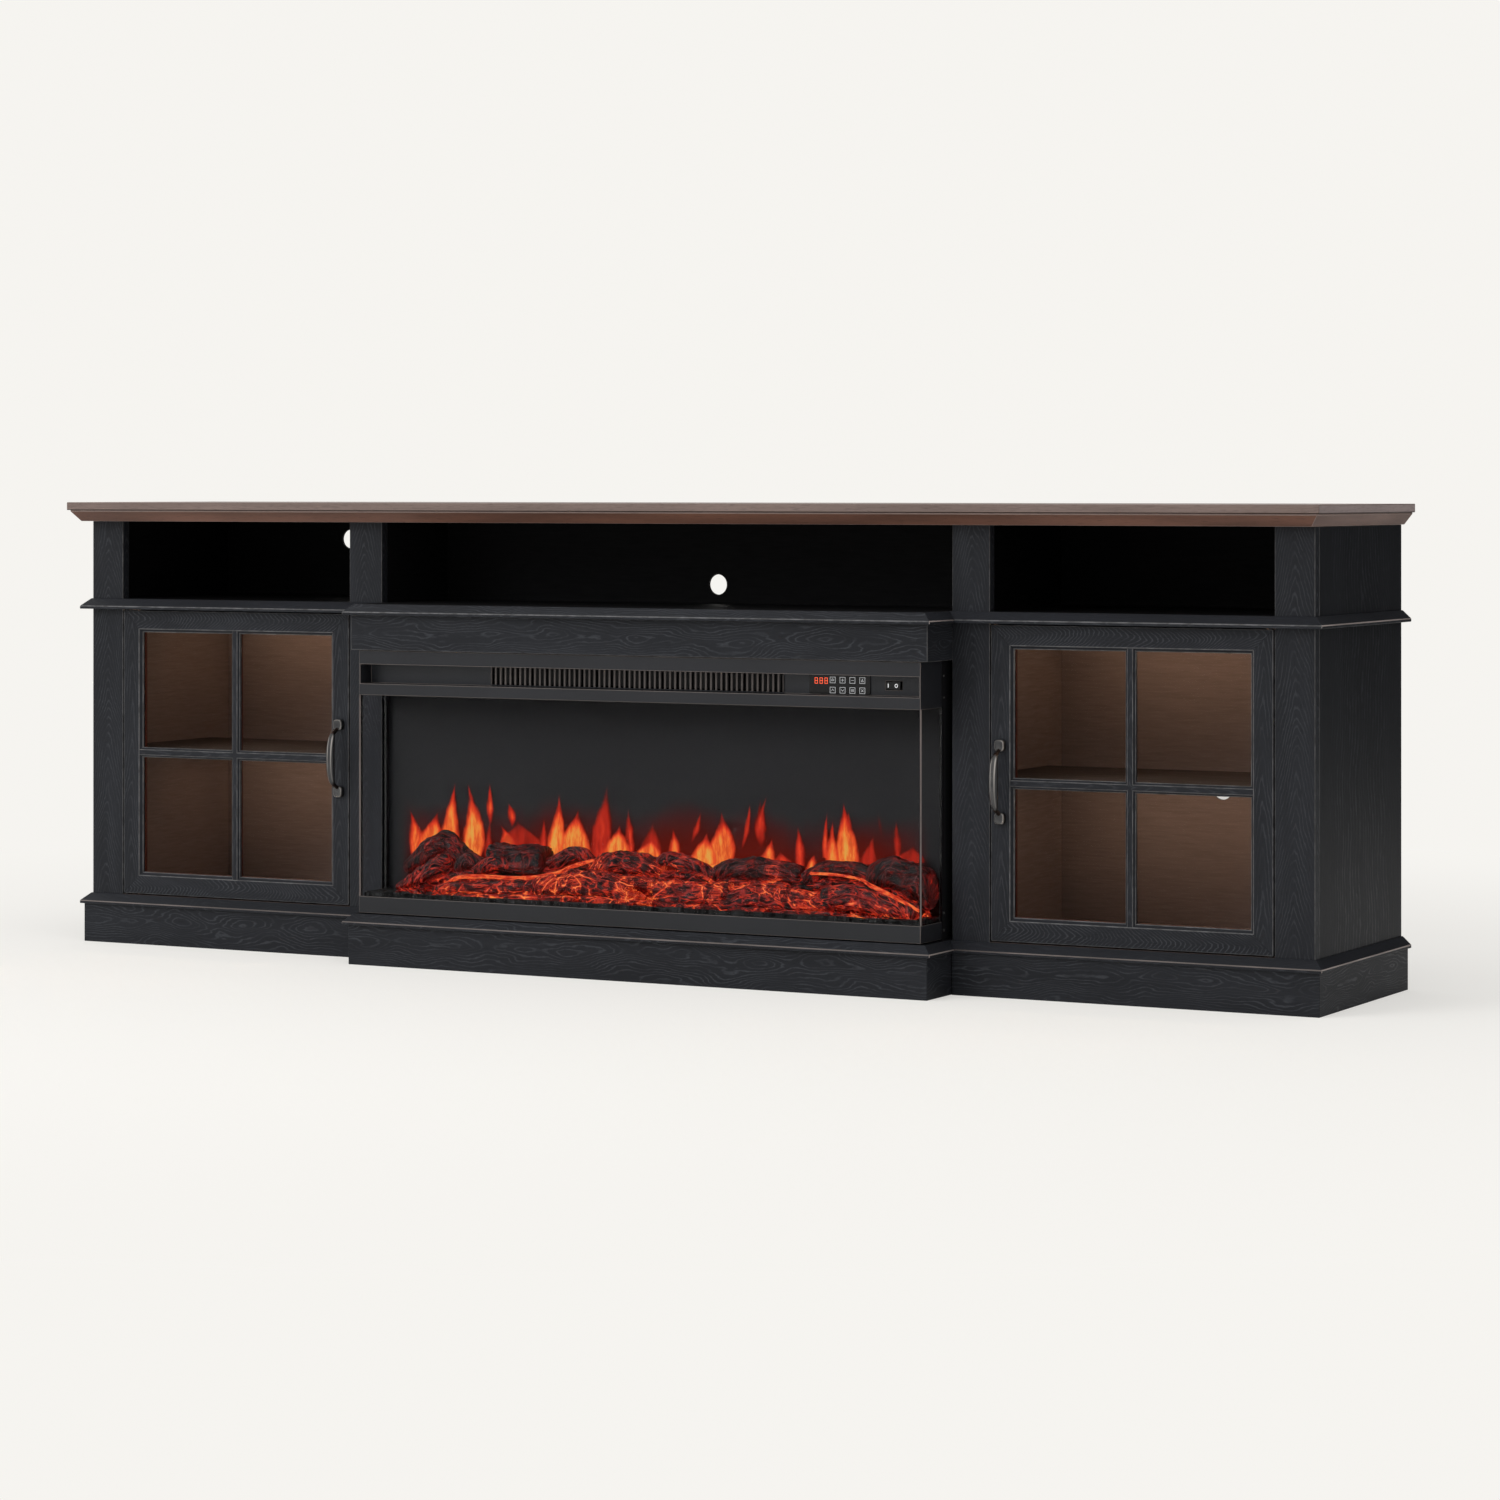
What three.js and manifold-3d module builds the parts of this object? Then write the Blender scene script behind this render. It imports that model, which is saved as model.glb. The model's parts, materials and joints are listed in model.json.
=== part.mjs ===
// Fireplace TV stand: a long painted cabinet with a wood top, two glazed cupboards and
// an electric fire with glass on three sides. Millimetres, X along the stand, Y from its
// front to its back, Z up. The origin lies under the middle, at floor level.

import * as THREE from 'three';
import { mergeVertices } from 'three/addons/utils/BufferGeometryUtils.js';
import Module from 'manifold-3d';

const wasm = await Module();
wasm.setup();

// Overall sizes
const standWidth = 2032;
const bodyDepth = 343;
const centreReach = 93;

// Boards
const boardThickness = 16;
const backThickness = 5;
const postWidth = 57;
const bayWidth = 415;
const waistHeight = 528;
const nicheHeight = 119;
const jointGap = 0.3;
const roundPoints = 24;

// Top
const topThickness = 12;
const topSideOverhang = 20;
const topFrontOverhang = 40;
const crownHeight = 17;
const crownStep = 4;
const crownBand = 2;
const crownRun = 12;

// Skirting and waist moulding
const plinthHeight = 58.5;
const plinthReach = 9.5;
const centrePlinthReach = 7.5;
const mouldingReach = 14.5;
const mouldingNose = 4.5;
const mouldingLand = 2;

// Middle section
const coreInset = 5;
const friezeHeight = 51.5;
const friezeProud = 2.5;
const friezeOverlap = 1;
const nicheDepth = 184;

// Cable holes and the vent behind the fire
const cableHoleRadius = 15;
const cableHoleSegments = 12;
const upperHoleDrop = 30;
const upperHoleShift = 14.5;
const lowerHoleRise = 195.5;
const centreHoleRise = 28;
const ventCutWidth = 300;
const ventCutHeight = 150;
const ventCutRise = 75.5;

// Shelves and light bars
const shelfThickness = 15;
const shelfRise = 209.5;
const shelfFrontInset = 30;
const shelfBackGap = 48;
const lightBarLength = 380;
const lightBarWidth = 12;
const lightBarHeight = 7;
const lightBarInset = 226;

// Doors
const doorGap = 2;
const doorFrameWidth = 30;
const beadWidth = 3;
const beadDepth = 5;
const glassRebate = 6;
const doorGlassInset = 8;
const doorGlassThickness = 3;
const muntinWidth = 15;
const muntinInset = 0.5;
const pivotOffset = 4;
const pivotRadius = 2.5;
const pivotClearance = 0.3;
const pivotDepth = 11;
const pivotCollarRadius = 3.5;
const pivotSegments = 16;

// Door pulls
const pullSpacing = 100;
const pullRise = 218.5;
const pullStandoff = 25;
const pullBossWidth = 16;
const pullBossHeight = 18;
const pullBossDepth = 9;
const pullBarLength = 74;
const pullBarWidth = 14;
const pullBarDepth = 9;
const pullNeckRadius = 3;
const pullSteps = 22;
const pullPoints = 10;
const bossPoints = 16;
const bossSoftness = 0.65;

// Each boss ring's share of the full size and of the depth
const bossShares = [[1, 0], [1, 0.75], [0.8, 1]];

// The bar's path as shares of half the spacing and of the standoff
const pullPathShares = [
  [-1, 0.2], [-0.98, 0.62], [-0.78, 0.92], [0, 1.04], [0.78, 0.92], [0.98, 0.62], [1, 0.2]
];

// Electric fire
const fireEndGap = 6;
const fireSetback = 0.5;
const fireTopGap = 0.5;
const fireLift = 1.5;
const fireBackDepth = 75;
const fireBaseHeight = 24;
const topBarHeight = 20;
const bandHeight = 28.5;
const lowBarHeight = 16.5;
const bandRecess = 30;
const sheet = 2;
const glassThickness = 4;
const postDepth = 10;
const footWidth = 30;
const sideScrewRadius = 2;
const sideScrewHead = 1;
const sideScrewInset = 5;
const sideScrewPoints = 10;
const lowScrewSpread = 12;
const highScrewRise = 14;
const highScrewPitch = 30;

// Vent, controls and switch in the recessed band
const ventInset = 209;
const ventSlotPitch = 8.24;
const ventSlotShare = 0.58;
const ventRim = 1.5;
const ventThickness = 2;
const panelVentGap = 40;
const panelInset = 90.4;
const panelWidth = 94.6;
const panelHeight = 26;
const panelThickness = 2;
const panelRim = 4;
const switchInset = 42;
const switchWidth = 26;
const switchHeight = 12.5;
const switchClearance = 1;
const switchDepth = 9;
const switchPivotInset = 4;
const switchPinLength = 2;
const switchPinPoints = 12;
const switchTilt = THREE.MathUtils.degToRad(-7);

// The rocker's outline as shares of half its width and of its depth out of the band
const rockerShares = [[-1, 0.62], [0, 0.5], [1, 0.62], [0.8, -0.2], [0, -0.45], [-0.8, -0.2]];

// Fuel bed
const screenInset = 78;
const screenThickness = 3;
const bedHeight = 8;
const bedMargin = 3;
const bedBumpShare = 0.4;
const bedRows = 36;
const bedColumns = 6;
const logPileHeight = 81;
const barkShare = 0.13;
const logRings = 7;
const logPoints = 8;

// Each log's two ends as shares of the fire's half width, the bed's depth and the pile's
// height, then its radius as a share of the pile's height
const logShares = [
  [[-0.9, 0.7, 0.2], [0, 0.72, 0.22], 0.25], [[-0.04, 0.72, 0.22], [0.92, 0.7, 0.2], 0.25],
  [[-0.9, 0.6, 0.14], [-0.72, 0.6, 0.76], 0.2], [[-0.75, 0.6, 0.74], [-0.55, 0.6, 0.5], 0.2],
  [[-0.57, 0.6, 0.62], [-0.36, 0.6, 0.62], 0.2], [[-0.37, 0.6, 0.46], [-0.19, 0.6, 0.66], 0.18],
  [[-0.22, 0.55, 0.5], [0.1, 0.55, 0.64], 0.25], [[0.05, 0.6, 0.7], [0.25, 0.6, 0.5], 0.2],
  [[0.2, 0.6, 0.64], [0.56, 0.6, 0.6], 0.19], [[0.53, 0.6, 0.52], [0.78, 0.6, 0.6], 0.2],
  [[0.74, 0.6, 0.66], [0.96, 0.6, 0.46], 0.2], [[-0.86, 0.32, 0.16], [-0.3, 0.32, 0.2], 0.19],
  [[-0.34, 0.34, 0.2], [0.28, 0.34, 0.2], 0.23], [[0.24, 0.33, 0.2], [0.92, 0.33, 0.14], 0.19]
];

// Flame spindle behind the screen
const spindleRadius = 3;
const spindleSetback = 30;
const spindleRise = 50;
const shaftPoints = 12;
const finCount = 15;
const finLength = 34;
const finReach = 15;
const finThickness = 1.2;
const finTurn = THREE.MathUtils.degToRad(137.5);
const motorRadius = 17;
const motorLength = 30;

// Blower and heater behind the vent
const blowerRadius = 22;
const blowerLength = 300;
const blowerSetback = 18;
const blowerDrop = 32;
const blowerShaftRadius = 4;
const bladeCount = 16;
const bladeThickness = 1.2;
const bladeDepth = 7;
const discCount = 4;
const discThickness = 1.5;
const motorBracketWidth = 16;
const heaterGap = 6;
const heaterDepth = 14;
const heaterHeight = 22;
const heaterTabWidth = 9;
const heaterTabGap = 2;
const heaterFinCount = 40;
const heaterFinShare = 0.5;
const heaterGroove = 4;

// Lamp under the embers and the gland for the mains lead
const emberLampMargin = 40;
const emberLampSetback = 22;
const emberLampWidth = 12;
const emberLampHeight = 8;
const glandInset = 76;
const glandRise = 34;
const glandRadius = 9;
const glandBore = 3.5;
const glandBorePoints = 16;
const glandLength = 14;
const glandPlateWidth = 40;
const glandPlateDepth = 3;
const glandWindowWidth = 28;

// Places worked out from the sizes above
const bodyHalf = standWidth / 2 - topSideOverhang;
const outerPostInner = bodyHalf - postWidth;
const innerPostOuter = outerPostInner - bayWidth;
const centreHalf = innerPostOuter - postWidth;
const bodyFront = (centreReach - bodyDepth) / 2;
const bodyBack = bodyFront + bodyDepth;
const postBack = bodyFront + boardThickness;
const coreHalf = centreHalf - coreInset;
const coreFront = bodyFront - centreReach + mouldingReach;
const floorTop = plinthHeight + boardThickness;
const deckBottom = waistHeight - boardThickness;
const crownBottom = waistHeight + nicheHeight;
const crownTop = crownBottom + crownHeight;
const sideInner = bodyHalf - boardThickness;
const partitionOuter = centreHalf + boardThickness;
const bayMiddle = (outerPostInner + innerPostOuter) / 2;
const backInner = bodyBack - backThickness;
const nicheBack = bodyFront + nicheDepth;
const doorBottom = floorTop + doorGap;
const doorTop = deckBottom - doorGap;
const doorWidth = bayWidth - 2 * doorGap;
const doorOuter = outerPostInner - doorGap;
const pivotX = doorOuter - pivotOffset;
const pivotY = bodyFront + pivotOffset;
const doorGlassFront = bodyFront + doorGlassInset;
const fireHalfWidth = coreHalf - fireEndGap;
const fireFront = coreFront + fireSetback;
const fireBack = bodyFront + fireBackDepth;
const fireBottom = floorTop + fireLift;
const fireTop = deckBottom - friezeHeight - fireTopGap;
const bandTop = fireTop - topBarHeight;
const bandBottom = bandTop - bandHeight;
const glassTop = bandBottom - lowBarHeight;
const glassBottom = fireBottom + fireBaseHeight;
const bandFront = fireFront + bandRecess;
const bandMiddle = (bandBottom + bandTop) / 2;
const postFront = bodyFront - postDepth;
const screenFront = fireFront + screenInset;
const bedFront = fireFront + glassThickness + bedMargin;
const bedBack = screenFront - bedMargin;
const bedTop = glassBottom + bedHeight;
const glandPlace = [fireHalfWidth - glandInset, fireBack, fireBottom + glandRise];

// Materials
const paintedWood = new THREE.MeshStandardMaterial({ color: 0x2c2e32, roughness: 0.55, metalness: 0 });
const darkInside = new THREE.MeshStandardMaterial({ color: 0x1d1b1b, roughness: 0.7, metalness: 0 });
const topWood = new THREE.MeshStandardMaterial({ color: 0x6a5048, roughness: 0.5, metalness: 0 });
const crownWood = new THREE.MeshStandardMaterial({ color: 0x644540, roughness: 0.5, metalness: 0 });
const fireMetal = new THREE.MeshStandardMaterial({ color: 0x323337, roughness: 0.45, metalness: 0.6 });
const blackMetal = new THREE.MeshStandardMaterial({ color: 0x161618, roughness: 0.5, metalness: 0.6 });
const pullMetal = new THREE.MeshStandardMaterial({ color: 0x3a3a3e, roughness: 0.35, metalness: 0.9 });
const clearGlass = new THREE.MeshStandardMaterial({
  color: 0xdfe6e6, roughness: 0.05, metalness: 0, transparent: true, opacity: 0.25
});
const smokedGlass = new THREE.MeshStandardMaterial({
  color: 0x26282a, roughness: 0.05, metalness: 0, transparent: true, opacity: 0.6
});
const blackPlastic = new THREE.MeshStandardMaterial({ color: 0x1a1a1c, roughness: 0.4, metalness: 0 });
const lampPlastic = new THREE.MeshStandardMaterial({
  color: 0xffe0b0, roughness: 0.4, metalness: 0, emissive: 0xffb060, emissiveIntensity: 1
});
const emberResin = new THREE.MeshStandardMaterial({
  color: 0x7a1c10, roughness: 0.6, metalness: 0, emissive: 0x801808, emissiveIntensity: 0.6
});
const charredResin = new THREE.MeshStandardMaterial({ color: 0x201a19, roughness: 0.9, metalness: 0 });
const brightMetal = new THREE.MeshStandardMaterial({ color: 0xb8bac0, roughness: 0.3, metalness: 0.9 });

const stand = new THREE.Group();

// Adds a named piece to the stand and gives it back for placing.
function add(name, material, geometry) {
  const mesh = new THREE.Mesh(geometry, material);
  mesh.name = name;
  stand.add(mesh);
  return mesh;
}

// A board between two values on each axis.
function board(x0, x1, y0, y1, z0, z1) {
  const geometry = new THREE.BoxGeometry(x1 - x0, y1 - y0, z1 - z0);
  geometry.translate((x0 + x1) / 2, (y0 + y1) / 2, (z0 + z1) / 2);
  return geometry;
}

// A level board with any outline, from height z0 to z1.
function slab(outline, z0, z1) {
  const shape = new THREE.Shape(outline.map(([x, y]) => new THREE.Vector2(x, y)));
  const geometry = new THREE.ExtrudeGeometry(shape, { depth: z1 - z0, bevelEnabled: false });
  geometry.translate(0, 0, z0);
  return geometry;
}

// An upright panel in X and Z with holes through it, from depth y0 to y1.
function panel(x0, x1, z0, z1, y0, y1, holes) {
  const shape = new THREE.Shape();
  shape.moveTo(x0, z0).lineTo(x1, z0).lineTo(x1, z1).lineTo(x0, z1).closePath();
  shape.holes = holes;
  const geometry = new THREE.ExtrudeGeometry(shape, {
    depth: y1 - y0, bevelEnabled: false, curveSegments: cableHoleSegments
  });
  geometry.rotateX(Math.PI / 2);
  geometry.translate(0, y1, 0);
  return geometry;
}

function roundHole(x, z, radius) {
  return new THREE.Path().absarc(x, z, radius, 0, 2 * Math.PI, true);
}

function rectangularHole(x0, x1, z0, z1) {
  return new THREE.Path().moveTo(x0, z0).lineTo(x0, z1).lineTo(x1, z1).lineTo(x1, z0).closePath();
}

// A closed body through rings of points that all have the same number of points. The end
// caps are triangles of ring places, and a ring that is convex needs none given.
function loft(rings, caps = fan(rings[0].length)) {
  const count = rings[0].length;
  const last = (rings.length - 1) * count;
  const index = [];
  for (let start = 0; start < last; start += count) {
    for (let i = 0; i < count; i += 1) {
      const a = start + i;
      const b = start + (i + 1) % count;
      index.push(a, b, b + count, a, b + count, a + count);
    }
  }
  for (const [a, b, c] of caps) {
    index.push(a, c, b);
    index.push(last + a, last + b, last + c);
  }
  const geometry = new THREE.BufferGeometry();
  geometry.setAttribute('position', new THREE.Float32BufferAttribute(rings.flat(2), 3));
  geometry.setIndex(volumeOf(rings.flat(), index) < 0 ? index.reverse() : index);
  geometry.computeVertexNormals();
  return geometry;
}

function fan(count) {
  return Array.from({ length: count - 2 }, (_, i) => [0, i + 1, i + 2]);
}

function volumeOf(points, index) {
  let volume = 0;
  for (let i = 0; i < index.length; i += 3) {
    const [a, b, c] = [0, 1, 2].map((corner) => new THREE.Vector3(...points[index[i + corner]]));
    volume += a.dot(b.cross(c)) / 6;
  }
  return volume;
}

// A level rectangle, as one ring of a loft.
function ringAt(z, x0, x1, y0, y1) {
  return [[x0, y0, z], [x1, y0, z], [x1, y1, z], [x0, y1, z]];
}

// A moulding whose profile runs along a plan line from one of its corners to another, with
// mitres. Profile points are [distance out of the body, height]. The body lies left of the line.
function moulding(plan, from, to, profile) {
  const first = plan.indexOf(from);
  const last = plan.indexOf(to);
  const rings = [];
  for (let i = first; i <= last; i += 1) {
    const before = outwardOf(plan[Math.max(i, 1) - 1], plan[Math.max(i, 1)]);
    const after = i + 1 < plan.length ? outwardOf(plan[i], plan[i + 1]) : before;
    const mitre = before.clone().add(after).divideScalar(1 + before.dot(after));
    const point = new THREE.Vector2(...plan[i]);
    if (i === first && i > 0) point.addScaledVector(runOf(plan[i], plan[i + 1]), jointGap);
    if (i === last && i + 1 < plan.length) point.addScaledVector(runOf(plan[i], plan[i - 1]), jointGap);
    rings.push(profile.map(([out, z]) => [point.x + mitre.x * out, point.y + mitre.y * out, z]));
  }
  return loft(rings, capsOf(profile));
}

// The triangles that close an outline, turning the way that its points run.
function capsOf(outline) {
  const corners = outline.map((point) => new THREE.Vector2(...point));
  const triangles = THREE.ShapeUtils.triangulateShape(corners, []);
  return THREE.ShapeUtils.isClockWise(corners) ? triangles.map((corner) => corner.reverse()) : triangles;
}

function runOf(from, to) {
  return new THREE.Vector2(to[0] - from[0], to[1] - from[1]).normalize();
}

function outwardOf(from, to) {
  const run = runOf(from, to);
  return new THREE.Vector2(run.y, -run.x);
}

// Solids for cutting and joining.
function solid(geometry) {
  const bare = geometry.clone();
  bare.deleteAttribute('normal');
  bare.deleteAttribute('uv');
  const merged = mergeVertices(bare);
  return new wasm.Manifold(new wasm.Mesh({
    numProp: 3,
    vertProperties: new Float32Array(merged.attributes.position.array),
    triVerts: new Uint32Array(merged.index.array)
  }));
}

function shell(body) {
  const mesh = body.getMesh();
  const geometry = new THREE.BufferGeometry();
  geometry.setAttribute('position', new THREE.BufferAttribute(new Float32Array(mesh.vertProperties), 3));
  geometry.setIndex(new THREE.BufferAttribute(new Uint32Array(mesh.triVerts), 1));
  geometry.computeVertexNormals();
  return geometry;
}

function joined(...geometries) {
  return shell(geometries.map(solid).reduce((whole, next) => whole.add(next)));
}

function common(geometry, other) {
  return shell(solid(geometry).intersect(solid(other)));
}

function cut(geometry, ...cutters) {
  return shell(cutters.map(solid).reduce((whole, next) => whole.subtract(next), solid(geometry)));
}

// A round bar along X, Y or Z between two values on that axis.
function rod(axis, from, to, radius, segments, centre) {
  const geometry = new THREE.CylinderGeometry(radius, radius, to - from, segments);
  if (axis === 'x') geometry.rotateZ(Math.PI / 2);
  if (axis === 'z') geometry.rotateX(Math.PI / 2);
  const middle = { x: centre[0], y: centre[1], z: centre[2] };
  middle[axis] = (from + to) / 2;
  geometry.translate(middle.x, middle.y, middle.z);
  return geometry;
}

// Gives the two ends of a range in rising order after mirroring it to a side.
function mirrored(side, a, b) {
  return side > 0 ? [a, b] : [-b, -a];
}

const sides = [['left', -1], ['right', 1]];

// Top: a flat slab on a crown board whose edge slopes in to the cabinet
add('tabletop', topWood, board(
  -standWidth / 2, standWidth / 2, bodyFront - topFrontOverhang, bodyBack,
  crownTop, crownTop + topThickness
));

const crownHalf = standWidth / 2 - crownStep;
const crownFront = bodyFront - topFrontOverhang + crownStep;
add('crown_board', crownWood, loft([
  ringAt(crownBottom, -crownHalf + crownRun, crownHalf - crownRun, crownFront + crownRun, bodyBack),
  ringAt(crownTop - crownBand, -crownHalf, crownHalf, crownFront, bodyBack),
  ringAt(crownTop, -crownHalf, crownHalf, crownFront, bodyBack)
]));

// A pivot pin's shank, where a door's upper or lower edge meets a board
function pivotShank(side, z, radius, reach) {
  return rod('z', z - reach, z + reach, radius, pivotSegments, [side * pivotX, pivotY, 0]);
}

function pivotSocket(side, z) {
  return pivotShank(side, z, pivotRadius + pivotClearance, pivotDepth + doorGap);
}

// Carcass boards
for (const [name, side] of sides) {
  add(`${name}_side_panel`, paintedWood, board(
    ...mirrored(side, sideInner, bodyHalf), postBack, bodyBack, plinthHeight, crownBottom
  ));
  add(`${name}_partition`, darkInside, board(
    ...mirrored(side, centreHalf, partitionOuter), postBack, bodyBack, floorTop, crownBottom
  ));
  add(`${name}_outer_stile`, paintedWood, board(
    ...mirrored(side, outerPostInner, bodyHalf), bodyFront, postBack, plinthHeight, crownBottom
  ));
  add(`${name}_inner_stile`, paintedWood, board(
    ...mirrored(side, centreHalf, innerPostOuter), bodyFront, postBack, plinthHeight, crownBottom
  ));
  const deckOutline = [
    [partitionOuter, backInner], [partitionOuter, postBack], [innerPostOuter, postBack],
    [innerPostOuter, bodyFront], [outerPostInner, bodyFront], [outerPostInner, postBack],
    [sideInner, postBack], [sideInner, backInner]
  ];
  add(`${name}_deck`, paintedWood, cut(
    slab(deckOutline.map(([x, y]) => [side * x, y]), deckBottom, waistHeight),
    pivotSocket(side, deckBottom)
  ));
}

add('centre_deck', paintedWood, slab([
  [-centreHalf, nicheBack], [-centreHalf, bodyFront], [-coreHalf, bodyFront], [-coreHalf, coreFront],
  [coreHalf, coreFront], [coreHalf, bodyFront], [centreHalf, bodyFront], [centreHalf, nicheBack]
], deckBottom, waistHeight));

// The bottom board runs the whole length, with a tongue under each door and under the fire.
const bottomHalf = [
  [coreHalf, coreFront], [coreHalf, bodyFront], [centreHalf, bodyFront], [centreHalf, postBack],
  [innerPostOuter, postBack], [innerPostOuter, bodyFront], [outerPostInner, bodyFront],
  [outerPostInner, postBack], [sideInner, postBack], [sideInner, bodyBack]
];
const bottomOutline = [...bottomHalf, ...bottomHalf.map(([x, y]) => [-x, y]).reverse()];
add('bottom_board', darkInside, cut(
  slab(bottomOutline, plinthHeight, floorTop), pivotSocket(-1, floorTop), pivotSocket(1, floorTop)
));

// Back panels with their cable holes. Of the two outer niches, only the left one has a hole.
const upperHole = roundHole(-bayMiddle - upperHoleShift, crownBottom - upperHoleDrop, cableHoleRadius);
for (const [name, side, upperHoles] of [['left', -1, [upperHole]], ['right', 1, []]]) {
  const lowerHole = roundHole(side * bayMiddle, floorTop + lowerHoleRise, cableHoleRadius);
  add(`${name}_back_panel`, darkInside, panel(
    ...mirrored(side, partitionOuter, sideInner), floorTop, crownBottom, backInner, bodyBack,
    [...upperHoles, lowerHole]
  ));
}
const ventCutBottom = floorTop + ventCutRise;
add('centre_back_panel', darkInside, panel(
  -centreHalf, centreHalf, floorTop, crownBottom, nicheBack, nicheBack + backThickness,
  [
    roundHole(0, waistHeight + centreHoleRise, cableHoleRadius),
    rectangularHole(-ventCutWidth / 2, ventCutWidth / 2, ventCutBottom, ventCutBottom + ventCutHeight)
  ]
));

// Shelves and the light bars over them
const shelfBottom = floorTop + shelfRise;
for (const [name, side] of sides) {
  add(`${name}_shelf`, darkInside, board(
    ...mirrored(side, partitionOuter, sideInner), bodyFront + shelfFrontInset, backInner - shelfBackGap,
    shelfBottom, shelfBottom + shelfThickness
  ));
  add(`${name}_light_bar`, lampPlastic, board(
    side * bayMiddle - lightBarLength / 2, side * bayMiddle + lightBarLength / 2,
    bodyFront + lightBarInset, bodyFront + lightBarInset + lightBarWidth,
    deckBottom - lightBarHeight, deckBottom
  ));
}

// Frieze over the fire: a front board with a return at each end
const friezeHalf = centreHalf + friezeOverlap;
const friezeFront = coreFront - friezeProud;
const friezePlan = [
  [-friezeHalf, bodyFront], [-friezeHalf, friezeFront], [friezeHalf, friezeFront], [friezeHalf, bodyFront]
];
const friezeProfile = [
  [-boardThickness, deckBottom - friezeHeight], [0, deckBottom - friezeHeight],
  [0, deckBottom], [-boardThickness, deckBottom]
];
add('centre_frieze', paintedWood, moulding(friezePlan, friezePlan[0], friezePlan.at(-1), friezeProfile));

// Mouldings follow the body round: side, bay, middle section, bay, side.
const leftCorner = [-coreHalf, bodyFront];
const rightCorner = [coreHalf, bodyFront];
const bodyPlan = [
  [-bodyHalf, bodyBack], [-bodyHalf, bodyFront], leftCorner, [-coreHalf, coreFront],
  [coreHalf, coreFront], rightCorner, [bodyHalf, bodyFront], [bodyHalf, bodyBack]
];
const stretches = [
  ['left', bodyPlan[0], leftCorner], ['centre', leftCorner, rightCorner],
  ['right', rightCorner, bodyPlan.at(-1)]
];

// The sloped nose of a moulding whose top is level with a board.
function noseProfile(top) {
  const bottom = top - boardThickness;
  return [
    [0, bottom], [mouldingReach, bottom], [mouldingReach, bottom + mouldingNose],
    [mouldingLand, top], [0, top]
  ];
}

for (const [name, from, to] of stretches) {
  add(`${name}_waist_moulding`, paintedWood, moulding(bodyPlan, from, to, noseProfile(waistHeight)));
  const reach = name === 'centre' ? centrePlinthReach : plinthReach;
  add(`${name}_skirting`, paintedWood, moulding(bodyPlan, from, to, [
    [reach - boardThickness, 0], [reach, 0], [reach, plinthHeight], ...noseProfile(floorTop).slice(1),
    [0, plinthHeight], [reach - boardThickness, plinthHeight]
  ]));
}
const railHalf = bodyHalf + plinthReach - boardThickness;
add('back_plinth_rail', darkInside, board(
  -railHalf, railHalf, bodyBack - boardThickness, bodyBack, 0, plinthHeight
));

// One rounded boss of a door pull, standing out of the door towards the front
function pullBoss(x, z) {
  return loft(bossShares.map(([size, depth]) => Array.from({ length: bossPoints }, (_, i) => {
    const angle = 2 * Math.PI * i / bossPoints;
    return [
      x + size * pullBossWidth / 2 * squared(Math.cos(angle)),
      bodyFront - depth * pullBossDepth,
      z + size * pullBossHeight / 2 * squared(Math.sin(angle))
    ];
  })));
}

// Pushes a circle's coordinate outwards, so that a circle becomes a soft square.
function squared(value) {
  return Math.sign(value) * Math.abs(value) ** bossSoftness;
}

// The bar of a pull: thin necks that rise out of the bosses into a full, curved grip
const pullHeight = doorBottom + pullRise;
function pullBar(x) {
  const path = new THREE.CatmullRomCurve3(pullPathShares.map(([along, out]) => new THREE.Vector3(
    x, bodyFront - out * pullStandoff, pullHeight + along * pullSpacing / 2
  )));
  const across = new THREE.Vector3(1, 0, 0);
  return loft(Array.from({ length: pullSteps + 1 }, (_, step) => {
    const middle = path.getPointAt(step / pullSteps);
    const outward = path.getTangentAt(step / pullSteps).cross(across);
    const fromCentre = 2 * (middle.z - pullHeight) / pullBarLength;
    const swell = Math.sqrt(Math.max(0, 1 - fromCentre ** 2));
    const halfWidth = pullNeckRadius + (pullBarWidth / 2 - pullNeckRadius) * swell;
    const halfDepth = pullNeckRadius + (pullBarDepth / 2 - pullNeckRadius) * swell;
    return Array.from({ length: pullPoints }, (_, i) => {
      const angle = 2 * Math.PI * i / pullPoints;
      return middle.clone().addScaledVector(across, halfWidth * Math.cos(angle))
        .addScaledVector(outward, halfDepth * Math.sin(angle)).toArray();
    });
  }));
}

// An upright rectangle at one depth, as one ring of a loft
function uprightRing(y, [x0, x1], [z0, z1]) {
  return [[x0, y, z0], [x1, y, z0], [x1, y, z1], [x0, y, z1]];
}

function inset([low, high], distance) {
  return [low + distance, high - distance];
}

// The two ends of a width about its middle
function spanOf(middle, width) {
  return [middle - width / 2, middle + width / 2];
}

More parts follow.
